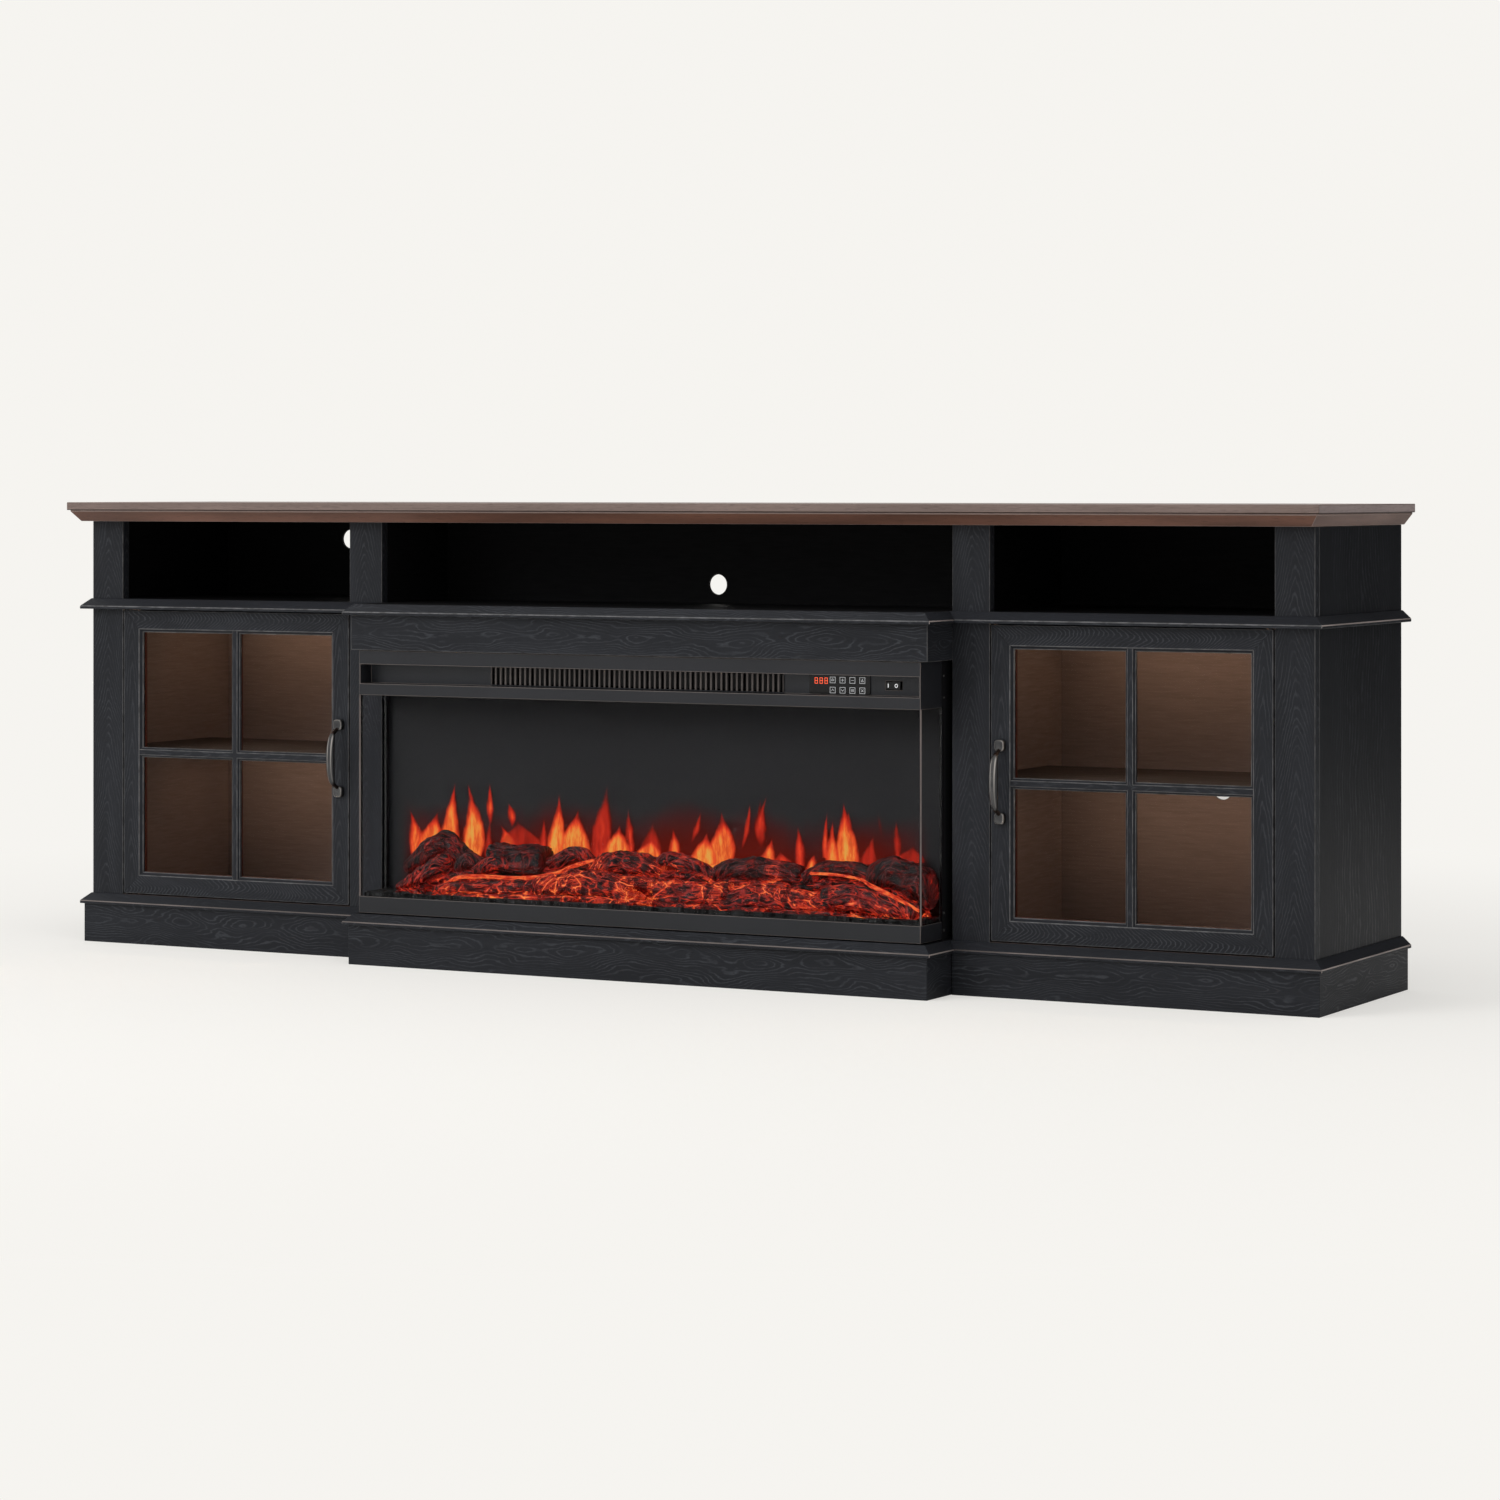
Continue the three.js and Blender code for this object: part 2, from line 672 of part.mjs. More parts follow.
// Doors: a mitred frame with a rebate for the glass, a muntin cross, a pull and two pivots
for (const [name, side] of sides) {
  const acrossDoor = mirrored(side, doorOuter - doorWidth, doorOuter);
  const upDoor = [doorBottom, doorTop];
  const acrossOpening = inset(acrossDoor, doorFrameWidth);
  const upOpening = inset(upDoor, doorFrameWidth);
  const acrossSight = inset(acrossOpening, beadWidth);
  const upSight = inset(upOpening, beadWidth);
  const beyondBack = postBack + boardThickness;

  // The bead slopes from the frame's face to the sight line of the glass.
  add(`${name}_door_frame`, paintedWood, cut(
    board(...acrossDoor, bodyFront, postBack, ...upDoor),
    loft([
      uprightRing(bodyFront, acrossOpening, upOpening),
      uprightRing(bodyFront + beadDepth, acrossSight, upSight),
      uprightRing(beyondBack, acrossSight, upSight)
    ]),
    board(
      ...inset(acrossOpening, -glassRebate), doorGlassFront, beyondBack, ...inset(upOpening, -glassRebate)
    ),
    pivotSocket(side, doorBottom),
    pivotSocket(side, doorTop)
  ));
  add(`${name}_door_glass`, clearGlass, board(
    ...inset(acrossOpening, jointGap - glassRebate), doorGlassFront,
    doorGlassFront + doorGlassThickness, ...inset(upOpening, jointGap - glassRebate)
  ));

  // The muntins run in front of the glass and are coped to the bead.
  const muntinFront = bodyFront + muntinInset;
  const middleX = side * bayMiddle;
  const middleZ = (doorBottom + doorTop) / 2;
  const cross = joined(
    board(middleX - muntinWidth / 2, middleX + muntinWidth / 2, muntinFront, doorGlassFront, ...upOpening),
    board(
      ...acrossOpening, muntinFront, doorGlassFront, middleZ - muntinWidth / 2, middleZ + muntinWidth / 2
    )
  );
  add(`${name}_door_muntins`, paintedWood, common(cross, loft([
    uprightRing(bodyFront, inset(acrossOpening, jointGap), inset(upOpening, jointGap)),
    uprightRing(bodyFront + beadDepth, inset(acrossSight, jointGap), inset(upSight, jointGap)),
    uprightRing(beyondBack, inset(acrossSight, jointGap), inset(upSight, jointGap))
  ])));

  const pullX = side * (doorOuter - doorWidth + doorFrameWidth / 2);
  add(`${name}_door_pull`, pullMetal, joined(
    pullBar(pullX),
    pullBoss(pullX, pullHeight - pullSpacing / 2),
    pullBoss(pullX, pullHeight + pullSpacing / 2)
  ));

  // Each pivot is a pin with a collar that fills the gap between the door and the board.
  for (const [end, low, high] of [['upper', doorTop, deckBottom], ['lower', floorTop, doorBottom]]) {
    const collarReach = (high - low) / 2 - pivotClearance;
    add(`${name}_${end}_pivot`, brightMetal, joined(
      pivotShank(side, (low + high) / 2, pivotRadius, pivotDepth),
      pivotShank(side, (low + high) / 2, pivotCollarRadius, collarReach)
    ));
  }
}

// Electric fire: the back housing stands on four feet and carries everything else
const fireWalls = [-fireHalfWidth, fireHalfWidth];
const insideWalls = inset(fireWalls, sheet);
const footMiddles = [-1, 1].flatMap((end) => [postFront, fireBack - footWidth].map((y) => [
  end * (fireHalfWidth - footWidth / 2), y
]));
const sideScrewHeights = [
  glassBottom - lowScrewSpread, glassBottom + lowScrewSpread,
  glassTop + highScrewRise, glassTop + highScrewRise + highScrewPitch
];
const sideScrews = [-1, 1].flatMap((end) => sideScrewHeights.map((z) => rod(
  'x', ...mirrored(end, fireHalfWidth - sheet / 2, fireHalfWidth + sideScrewHead),
  sideScrewRadius, sideScrewPoints, [0, postFront + sideScrewInset, z]
)));
add('fire_housing', blackMetal, joined(
  cut(
    board(...fireWalls, postFront, fireBack, fireBottom, fireTop),
    board(...insideWalls, postFront - postDepth, fireBack - sheet, fireBottom + sheet, fireTop - sheet),
    board(
      ...spanOf(glandPlace[0], glandWindowWidth), fireBack - 2 * sheet, fireBack + sheet,
      ...spanOf(glandPlace[2], glandWindowWidth)
    )
  ),
  ...footMiddles.map(([x, y]) => board(
    x - footWidth / 2, x + footWidth / 2, y, y + footWidth, floorTop, fireBottom + sheet / 2
  )),
  ...sideScrews
));

// The hood over the glass: a sheet channel with a recessed band, open towards the housing
const panelRight = fireHalfWidth - panelInset;
const panelAcross = [panelRight - panelWidth, panelRight];
const panelUp = [bandMiddle - panelHeight / 2, bandMiddle + panelHeight / 2];
const ventAcross = [ventInset - fireHalfWidth, panelAcross[0] - panelVentGap];
const ventUp = inset([bandBottom, bandTop], ventRim);
const switchRight = fireHalfWidth - switchInset;
const switchAcross = [switchRight - switchWidth, switchRight];
const switchUp = [bandMiddle - switchHeight / 2, bandMiddle + switchHeight / 2];
const behindBand = bandFront + sheet;
const throughBand = [bandFront - 2 * sheet, behindBand + sheet];
const hoodBack = postFront - jointGap;
add('fire_hood', fireMetal, cut(
  board(...fireWalls, fireFront, hoodBack, glassTop, fireTop),
  board(...insideWalls, fireFront - sheet, bandFront, bandBottom, bandTop),
  board(...insideWalls, behindBand, postFront, glassTop + sheet, fireTop - sheet),
  board(...insideWalls, fireFront + sheet, behindBand + sheet, bandTop + sheet, fireTop - sheet),
  board(...insideWalls, fireFront + sheet, behindBand + sheet, glassTop + sheet, bandBottom - sheet),
  board(...inset(ventAcross, ventRim), ...throughBand, ...ventUp),
  board(...inset(panelAcross, panelRim), ...throughBand, ...inset(panelUp, panelRim)),
  board(...switchAcross, ...throughBand, ...switchUp)
));

// The vent is a plate of upright slots.
const ventWidth = ventAcross[1] - ventAcross[0];
const slotCount = Math.floor(ventWidth / ventSlotPitch);
const slotPitch = ventWidth / slotCount;
const ventSlots = Array.from({ length: slotCount }, (_, i) => {
  const slotLeft = ventAcross[0] + (i + (1 - ventSlotShare) / 2) * slotPitch;
  return board(slotLeft, slotLeft + ventSlotShare * slotPitch, ...throughBand, ...ventUp);
});
add('vent_grille', fireMetal, cut(board(
  ...ventAcross, bandFront - ventThickness, bandFront, ...inset([bandBottom, bandTop], jointGap)
), ...ventSlots));

add('control_panel', blackPlastic, board(
  ...panelAcross, bandFront - panelThickness, bandFront, ...panelUp
));

// The rocker is a shallow V that leans one way for on and the other way for off. Its pins
// are held behind the band's sheet.
const rocker = loft(inset(switchUp, switchClearance).map((z) => rockerShares.map(([across, out]) => [
  across * (switchWidth / 2 - switchClearance), -out * switchDepth, z
])), capsOf(rockerShares));
rocker.rotateZ(switchTilt);
rocker.translate(switchRight - switchWidth / 2, bandFront + switchPivotInset, 0);
add('rocker_switch', blackPlastic, joined(rocker, rod(
  'z', ...inset(switchUp, -switchPinLength), switchPivotInset - sheet - jointGap, switchPinPoints,
  [switchRight - switchWidth / 2, bandFront + switchPivotInset, 0]
)));

// The base under the glass, open towards the housing
add('fire_base', fireMetal, cut(
  board(...fireWalls, fireFront, hoodBack, fireBottom, glassBottom),
  board(...insideWalls, fireFront + sheet, postFront, fireBottom + sheet, glassBottom - sheet)
));

// Glass on three sides, and the screen that the flames show on
add('front_glass', smokedGlass, board(
  ...fireWalls, fireFront, fireFront + glassThickness, glassBottom, glassTop
));
for (const [name, side] of sides) {
  add(`${name}_side_glass`, smokedGlass, board(
    ...mirrored(side, fireHalfWidth - glassThickness, fireHalfWidth),
    fireFront + glassThickness + jointGap, hoodBack, glassBottom, glassTop
  ));
}
add('flame_screen', smokedGlass, board(
  ...inset(insideWalls, jointGap), screenFront, screenFront + screenThickness,
  fireBottom + sheet + jointGap, glassTop
));

// A gentle, repeatable unevenness between -1 and 1
function wobble(along, around, number) {
  return Math.sin(2.3 * along + 1.7 * number) * Math.sin(3.1 * around + 0.9 * number + along);
}

// The ember bed is a low tray of coals with a bumpy top.
const bedAcross = inset(insideWalls, bedMargin);
const bedCaps = Array.from({ length: bedColumns }, (_, i) => {
  const over = 2 * bedColumns + 1 - i;
  return [[i, i + 1, over], [i + 1, over - 1, over]];
}).flat();
add('ember_bed', emberResin, loft(Array.from({ length: bedRows + 1 }, (_, row) => {
  const x = THREE.MathUtils.lerp(...bedAcross, row / bedRows);
  const depths = Array.from({ length: bedColumns + 1 }, (_, column) => column / bedColumns);
  const under = depths.map((share) => [x, THREE.MathUtils.lerp(bedFront, bedBack, share), glassBottom]);
  const over = depths.map((share, column) => [
    x, THREE.MathUtils.lerp(bedFront, bedBack, share),
    bedTop - bedHeight * bedBumpShare * (1 + wobble(row, column, 0)) / 2
  ]);
  return [...under, ...over.reverse()];
}), bedCaps));

// One charred log between two places, with uneven bark and blunt ends
function log([from, to, radiusShare], number) {
  const [start, end] = [from, to].map(([x, y, z]) => new THREE.Vector3(
    x * fireHalfWidth, THREE.MathUtils.lerp(bedFront, bedBack, y), bedTop + z * logPileHeight
  ));
  const run = end.clone().sub(start).normalize();
  const across = new THREE.Vector3(0, 1, 0).cross(run).normalize();
  const outward = run.clone().cross(across);
  return loft(Array.from({ length: logRings }, (_, ring) => {
    const middle = start.clone().lerp(end, ring / (logRings - 1));
    return Array.from({ length: logPoints }, (_, i) => {
      const angle = 2 * Math.PI * i / logPoints;
      const radius = radiusShare * logPileHeight * (1 - barkShare * (1 + wobble(ring, i, number)) / 2);
      return middle.clone().addScaledVector(across, radius * Math.cos(angle))
        .addScaledVector(outward, radius * Math.sin(angle)).toArray();
    });
  }));
}
add('log_set', charredResin, common(
  joined(...logShares.map(log)),
  board(...bedAcross, bedFront, bedBack, bedTop, bedTop + logPileHeight)
));

// The flame spindle turns behind the screen, between the housing's wall and its motor.
const spindlePlace = [0, screenFront + screenThickness + spindleSetback, glassBottom + spindleRise];
const spindleLeft = insideWalls[0] + jointGap;
const spindleRight = insideWalls[1] - motorLength - 2 * jointGap;
const fins = Array.from({ length: finCount }, (_, i) => {
  const middle = THREE.MathUtils.lerp(spindleLeft, spindleRight, (i + 0.5) / finCount);
  const fin = board(
    middle - finLength / 2, middle + finLength / 2, -finThickness / 2, finThickness / 2, 0, finReach
  );
  fin.rotateX(i * finTurn);
  fin.translate(...spindlePlace);
  return fin;
});
add('flame_spindle', brightMetal, joined(
  rod('x', spindleLeft, spindleRight, spindleRadius, shaftPoints, spindlePlace), ...fins
));
add('spindle_motor', blackMetal, rod(
  'x', insideWalls[1] - jointGap - motorLength, insideWalls[1] - jointGap,
  motorRadius, roundPoints, spindlePlace
));

// The blower is a long wheel of blades on its motor's shaft.
const blowerPlace = [0, bodyFront + blowerSetback, fireTop - sheet - blowerDrop];
const blades = Array.from({ length: bladeCount }, (_, i) => {
  const blade = board(
    -blowerLength / 2, blowerLength / 2, -bladeThickness / 2, bladeThickness / 2,
    blowerRadius - bladeDepth, blowerRadius - bladeThickness
  );
  blade.rotateX(2 * Math.PI * i / bladeCount);
  blade.translate(...blowerPlace);
  return blade;
});
const discs = Array.from({ length: discCount }, (_, i) => {
  const from = THREE.MathUtils.lerp(
    -blowerLength / 2, blowerLength / 2 - discThickness, i / (discCount - 1)
  );
  return rod('x', from, from + discThickness, blowerRadius, roundPoints, blowerPlace);
});
add('blower_wheel', blackPlastic, joined(
  rod('x', -blowerLength / 2, blowerLength / 2, blowerShaftRadius, shaftPoints, blowerPlace),
  ...discs, ...blades
));
const blowerMotorLeft = blowerLength / 2 + jointGap;
add('blower_motor', blackMetal, joined(
  rod('x', blowerMotorLeft, blowerMotorLeft + motorLength, motorRadius, roundPoints, blowerPlace),
  board(
    blowerMotorLeft, blowerMotorLeft + motorLength, blowerPlace[1] - motorBracketWidth / 2,
    blowerPlace[1] + motorBracketWidth / 2, blowerPlace[2], fireTop - sheet - jointGap
  )
));

// The heater is a finned bar behind the vent, held by a tab at each end.
const heaterFront = behindBand + heaterGap;
const heaterUp = [bandMiddle - heaterHeight / 2, bandMiddle + heaterHeight / 2];
const heaterPitch = ventWidth / heaterFinCount;
const heaterTabs = [
  [ventAcross[0] - heaterTabGap - heaterTabWidth, ventAcross[0] - heaterTabGap],
  [ventAcross[1] + heaterTabGap, ventAcross[1] + heaterTabGap + heaterTabWidth]
];
add('heater_element', brightMetal, joined(
  cut(
    board(heaterTabs[0][0], heaterTabs[1][1], heaterFront, heaterFront + heaterDepth, ...heaterUp),
    ...Array.from({ length: heaterFinCount }, (_, i) => {
      const grooveLeft = ventAcross[0] + (i + (1 - heaterFinShare) / 2) * heaterPitch;
      return board(
        grooveLeft, grooveLeft + heaterFinShare * heaterPitch, heaterFront - sheet,
        heaterFront + heaterGroove, heaterUp[0] - sheet, heaterUp[1] + sheet
      );
    })
  ),
  ...heaterTabs.map((across) => board(...across, behindBand + jointGap, heaterFront + sheet, ...heaterUp))
));

// The lamp lights the embers from inside the base.
add('ember_lamp', lampPlastic, board(
  ...inset(fireWalls, emberLampMargin), fireFront + emberLampSetback,
  fireFront + emberLampSetback + emberLampWidth, fireBottom + sheet, fireBottom + sheet + emberLampHeight
));

// The mains lead leaves through a gland, whose plate covers a window in the housing's back.
add('mains_gland', blackPlastic, cut(
  joined(
    board(
      ...spanOf(glandPlace[0], glandPlateWidth), fireBack, fireBack + glandPlateDepth,
      ...spanOf(glandPlace[2], glandPlateWidth)
    ),
    rod('y', fireBack, fireBack + glandLength, glandRadius, roundPoints, glandPlace)
  ),
  rod('y', fireBack - sheet, fireBack + glandLength + sheet, glandBore, glandBorePoints, glandPlace)
));

export default stand;
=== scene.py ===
"""Dresses the fireplace TV stand: paint, veneer, glass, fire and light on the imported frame."""

import json
import math

import bmesh
import bpy
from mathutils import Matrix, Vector, noise


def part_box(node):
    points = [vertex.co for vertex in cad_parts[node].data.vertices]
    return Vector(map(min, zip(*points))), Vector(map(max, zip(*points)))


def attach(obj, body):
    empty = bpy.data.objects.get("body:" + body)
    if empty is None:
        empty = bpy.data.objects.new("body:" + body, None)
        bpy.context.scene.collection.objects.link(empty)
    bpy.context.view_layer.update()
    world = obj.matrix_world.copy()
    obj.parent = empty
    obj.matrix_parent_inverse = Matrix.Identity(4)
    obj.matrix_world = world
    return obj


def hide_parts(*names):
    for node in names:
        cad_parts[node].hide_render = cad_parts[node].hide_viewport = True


bl_info = {
    "name": "Fireplace TV Stand",
    "version": (1, 0, 0),
    "blender": (4, 5, 0),
    "location": "3D View > Sidebar > TV Stand",
    "description": "Paint, veneer, glass, fire and light for a fireplace TV stand",
    "category": "Object",
}

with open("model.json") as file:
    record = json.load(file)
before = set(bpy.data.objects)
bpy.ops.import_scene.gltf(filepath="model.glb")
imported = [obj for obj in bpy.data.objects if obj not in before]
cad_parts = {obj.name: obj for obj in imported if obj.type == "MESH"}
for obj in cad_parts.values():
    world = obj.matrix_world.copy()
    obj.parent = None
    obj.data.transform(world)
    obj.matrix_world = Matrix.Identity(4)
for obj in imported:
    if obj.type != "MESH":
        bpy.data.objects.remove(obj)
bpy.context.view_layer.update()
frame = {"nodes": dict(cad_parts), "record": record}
nodes = frame["nodes"]
body_of = {node: body for body, group in frame["record"]["behaviour"]["bodies"].items() for node in group}

MM = 0.001
SIDES = (("left", -1), ("right", 1))
ALONG = {"X": Vector((1, 0, 0)), "Y": Vector((0, 1, 0)), "Z": Vector((0, 0, 1))}
UP = ALONG["Z"]
# Corners closer than this, in metres, are one
SAME_PLACE = 1e-6
# What a pull's map of painted highlight and worn places holds in its first value on a boss, beyond any share
# of the grip's length
BOSS_MARK = 1.3


# Sizes and colours that a user may change

def colour_choice(name, about, value):
    return bpy.props.FloatVectorProperty(
        name=name, description=about, subtype="COLOR", size=3, min=0, max=1, default=value)


def length_choice(name, about, value):
    return bpy.props.FloatProperty(
        name=name, description=about, unit="LENGTH", subtype="DISTANCE", min=0, default=value)


class StandColours(bpy.types.PropertyGroup):
    paint: colour_choice("Paint", "Charcoal paint of the carcass and doors", (0.0174, 0.0187, 0.0226))
    grain: colour_choice("Grain", "Lighter lines of the embossed grain", (0.0345, 0.037, 0.043))
    # The pale colour of the edges is a painted highlight, mottled as if worn
    rubbed: colour_choice("Rubbed Edge", "Paint rubbed thin along the edges", (0.085, 0.085, 0.088))
    veneer: colour_choice("Top", "Grey-brown veneer of the top", (0.175, 0.128, 0.113))
    crown: colour_choice("Crown", "Red-brown stain of the crown board", (0.118, 0.054, 0.036))
    # The niches' very dark lining is painted shade
    lining: colour_choice("Niche Lining", "Black lining of the open niches", (0.0055, 0.0055, 0.006))
    cupboard: colour_choice("Cupboard Lining", "Brown lining of the cupboards", (0.12, 0.088, 0.078))
    # The paler band on the top's ends is a painted sheen
    end_band: colour_choice("End Band", "Paler band on the top's two ends", (0.3, 0.243, 0.235))
    backdrop: colour_choice("Backdrop", "Pale backdrop and floor", (0.92, 0.905, 0.871))


class StandSizes(bpy.types.PropertyGroup):
    board_round: length_choice("Board Rounding", "Radius of the carcass boards' edges", 1.1 * MM)
    moulding_round: length_choice("Moulding Rounding", "Radius of the mouldings' noses", 1.8 * MM)
    sheet_round: length_choice("Sheet Rounding", "Radius of the fire's folded sheet", 0.6 * MM)
    slat_width: length_choice("Slat Width", "Width of one slat of the vent", 3.4 * MM)
    screw_width: length_choice("Screw Width", "Width of a screw head", 3.6 * MM)
    coal_width: length_choice("Coal Width", "Width of a usual coal", 13 * MM)


class StandLight(bpy.types.PropertyGroup):
    cupboard: bpy.props.FloatProperty(
        name="Cupboard Light", description="Strength of the light bars", min=0, default=22)
    flame: bpy.props.FloatProperty(
        name="Flames", description="Strength of the flames", min=0, default=1.0)
    ember: bpy.props.FloatProperty(
        name="Embers", description="Strength of the embers", min=0, default=1.0)


# Node trees

class Desk:
    """Adds nodes to one tree. An input given as a socket is linked, and any other is set."""

    def __init__(self, tree):
        self.tree = tree

    def add(self, kind, inputs=None, **settings):
        node = self.tree.nodes.new(kind)
        for name, value in settings.items():
            setattr(node, name, value)
        for key, value in (inputs or {}).items():
            self.feed(node.inputs[key], value)
        return node

    def feed(self, socket, value):
        if isinstance(value, bpy.types.NodeSocket):
            self.tree.links.new(value, socket)
        else:
            socket.default_value = value

    def shade(self, shader, **sockets):
        """Feeds a shader's sockets by their names."""
        for name, value in sockets.items():
            self.feed(shader.inputs[name.replace("_", " ")], value)

    def maths(self, operation, first, second=0.0, third=0.0):
        return self.add("ShaderNodeMath", {0: first, 1: second, 2: third}, operation=operation).outputs[0]

    def product(self, first, *others):
        for value in others:
            first = self.maths("MULTIPLY", first, value)
        return first

    def vectors(self, operation, inputs):
        return self.add("ShaderNodeVectorMath", inputs, operation=operation).outputs

    def parts(self, vector):
        return self.add("ShaderNodeSeparateXYZ", {0: vector}).outputs

    def span(self, value, low, high, start=0.0, end=1.0):
        inputs = {"Value": value, "From Min": low, "From Max": high, "To Min": start, "To Max": end}
        return self.add("ShaderNodeMapRange", inputs, interpolation_type="SMOOTHSTEP").outputs[0]

    def mix(self, factor, first, second):
        inputs = {0: factor, 6: first, 7: second}
        return self.add("ShaderNodeMix", inputs, data_type="RGBA", clamp_factor=True).outputs[2]

    def ramp(self, value, first, *middle, last):
        """A colour ramp through stops, each a position and a colour."""
        node = self.add("ShaderNodeValToRGB", {0: value})
        stops = node.color_ramp.elements
        for stop, (position, colour) in zip(stops, (first, last)):
            stop.position = position
            stop.color = (*colour, 1)
        for position, colour in middle:
            stops.new(position).color = (*colour, 1)
        return node.outputs[0]

    def noise(self, place, scale, detail=2.0, roughness=0.5):
        inputs = {"Vector": place, "Scale": scale, "Detail": detail, "Roughness": roughness}
        return self.add("ShaderNodeTexNoise", inputs).outputs[0]

    def stretch(self, place, x, y, z):
        inputs = {"Vector": place, "Scale": (x, y, z)}
        return self.add("ShaderNodeMapping", inputs).outputs[0]

    def drawn(self, place, rates, detail=2.0, roughness=0.5):
        """Noise with a rate of its own along each axis."""
        return self.noise(self.stretch(place, *rates), 1, detail, roughness)

    def middle_line(self, value, width):
        """Thin lines where a noise passes its middle value."""
        return self.span(self.maths("ABSOLUTE", self.maths("SUBTRACT", value, 0.5)), width, 0.0)

    def place(self):
        return self.add("ShaderNodeTexCoord").outputs["Object"]

    def map(self, name):
        return self.add("ShaderNodeUVMap", uv_map=name).outputs[0]

    def bump(self, height, strength, distance):
        inputs = {"Height": height, "Strength": strength, "Distance": distance}
        return self.add("ShaderNodeBump", inputs).outputs[0]


def rgba(colour, gain=1.0):
    return (*(min(1.0, value * gain) for value in colour), 1.0)


def colours():
    return bpy.context.scene.stand_colours


def new_material(name):
    """A material with one Principled shader, and what its nodes are added with."""
    material = bpy.data.materials.new(name)
    material.use_nodes = True
    material.node_tree.nodes.clear()
    desk = Desk(material.node_tree)
    shader = desk.add("ShaderNodeBsdfPrincipled")
    desk.add("ShaderNodeOutputMaterial", {"Surface": shader.outputs[0]})
    return material, desk, shader


def finish(draw):
    """Makes a function that wires a shader give its material, which is made once for each name."""
    def material(name=draw.__name__, *values):
        made = bpy.data.materials.get(name)
        if made is None:
            made, desk, shader = new_material(name)
            draw(desk, shader, *values)
        return made
    return material


# Wood, paint and lining

FIGURE_INPUTS = ("Arch Lines", "Wave Rate", "Trend", "Line Rate", "Line Width", "Heart Width")

# Each paint: its shade, the contrast of its lines, and its figure in the order of the inputs above
PAINTS = {
    "painted_stiles": (1.0, 1.0, (7, 7, 60, 215, 0.22, 0.021)),
    # The sides' paint is darkened to 0.7 as painted shade on the faces turned away from the light
    "painted_sides": (0.7, 1.0, (5, 3, 5, 95, 0.24, 0.09)),
    "painted_boards": (1.0, 1.15, (13, 9, 6, 230, 0.22, 0.03)),
    "painted_rails": (1.0, 1.35, (11, 6, 140, 215, 0.22, 0.034)),
    "painted_members": (1.0, 1.0, (4, 6, 28, 235, 0.22, 0.016)),
}

# Each veneer or stain: its colour in the panel, its darkest and lightest shade, and its figure
BAND_FIGURE = (4, 4, 3, 420, 0.2, 0.01)
VENEERS = {
    "top_veneer": ("veneer", 0.72, 1.25, (26, 3.2, 5, 120, 0.26, 0.12)),
    "edge_band": ("veneer", 0.86, 1.14, BAND_FIGURE),
    # The ends' paler band is a painted sheen, and the joint's dark band a painted shadow
    "end_band": ("end_band", 0.9, 1.15, BAND_FIGURE),
    "crown_line": ("veneer", 1.2, 1.5, BAND_FIGURE),
    "joint_shadow": ("crown", 0.16, 0.3, BAND_FIGURE),
    "crown_stain": ("crown", 0.7, 1.3, (10, 4, 6, 330, 0.2, 0.014)),
}


def wood_figure():
    """A node group that draws cathedral grain: nested arches about a heart line."""
    tree = bpy.data.node_groups.get("wood_figure")
    if tree:
        return tree
    tree = bpy.data.node_groups.new("wood_figure", "ShaderNodeTree")
    tree.interface.new_socket(name="Place", in_out="INPUT", socket_type="NodeSocketVector")
    for name in FIGURE_INPUTS:
        tree.interface.new_socket(name=name, in_out="INPUT", socket_type="NodeSocketFloat")
    for name in ("Lines", "Pores", "Tone"):
        tree.interface.new_socket(name=name, in_out="OUTPUT", socket_type="NodeSocketFloat")
    desk = Desk(tree)
    given = desk.add("NodeGroupInput").outputs
    place = given["Place"]
    along, across = desk.parts(place)[:2]
    wander = desk.maths("SUBTRACT", desk.drawn(place, (5, 0, 0), 1), 0.5)
    heart = desk.maths("MULTIPLY_ADD", wander, given["Heart Width"], across)
    reach = desk.maths("SQRT", desk.maths("MULTIPLY_ADD", heart, heart, 9e-6))
    rings = desk.product(reach, given["Line Rate"])
    swell = desk.noise(desk.stretch(place, 1, 2.5, 1), given["Wave Rate"], 1.5)
    rings = desk.maths("MULTIPLY_ADD", swell, given["Arch Lines"], rings)
    rings = desk.maths("MULTIPLY_ADD", along, given["Trend"], rings)
    rings = desk.maths("MULTIPLY_ADD", desk.drawn(place, (60, 220, 1)), 0.9, rings)
    lines = desk.span(desk.maths("PINGPONG", rings, 0.5), given["Line Width"], 0.0)
    patch = desk.span(desk.drawn(place, (14, 60, 1)), 0.36, 0.6, 0.25, 1.0)
    away = desk.maths("DIVIDE", reach, given["Heart Width"])
    lines = desk.product(lines, patch, desk.span(away, 0.7, 1.6, 1.0, 0.22))
    pores = desk.span(desk.drawn(place, (60, 1100, 1)), 0.55, 0.7)
    tone = desk.drawn(place, (3, 26, 1), 3)
    desk.add("NodeGroupOutput", {"Lines": lines, "Pores": pores, "Tone": tone})
    return tree


def figured(desk, figure):
    """The figure's lines, pores and tone over a piece's grain map."""
    node = desk.add("ShaderNodeGroup", node_tree=wood_figure())
    desk.feed(node.inputs["Place"], desk.map("grain"))
    for name, value in zip(FIGURE_INPUTS, figure):
        desk.feed(node.inputs[name], value)
    return node.outputs


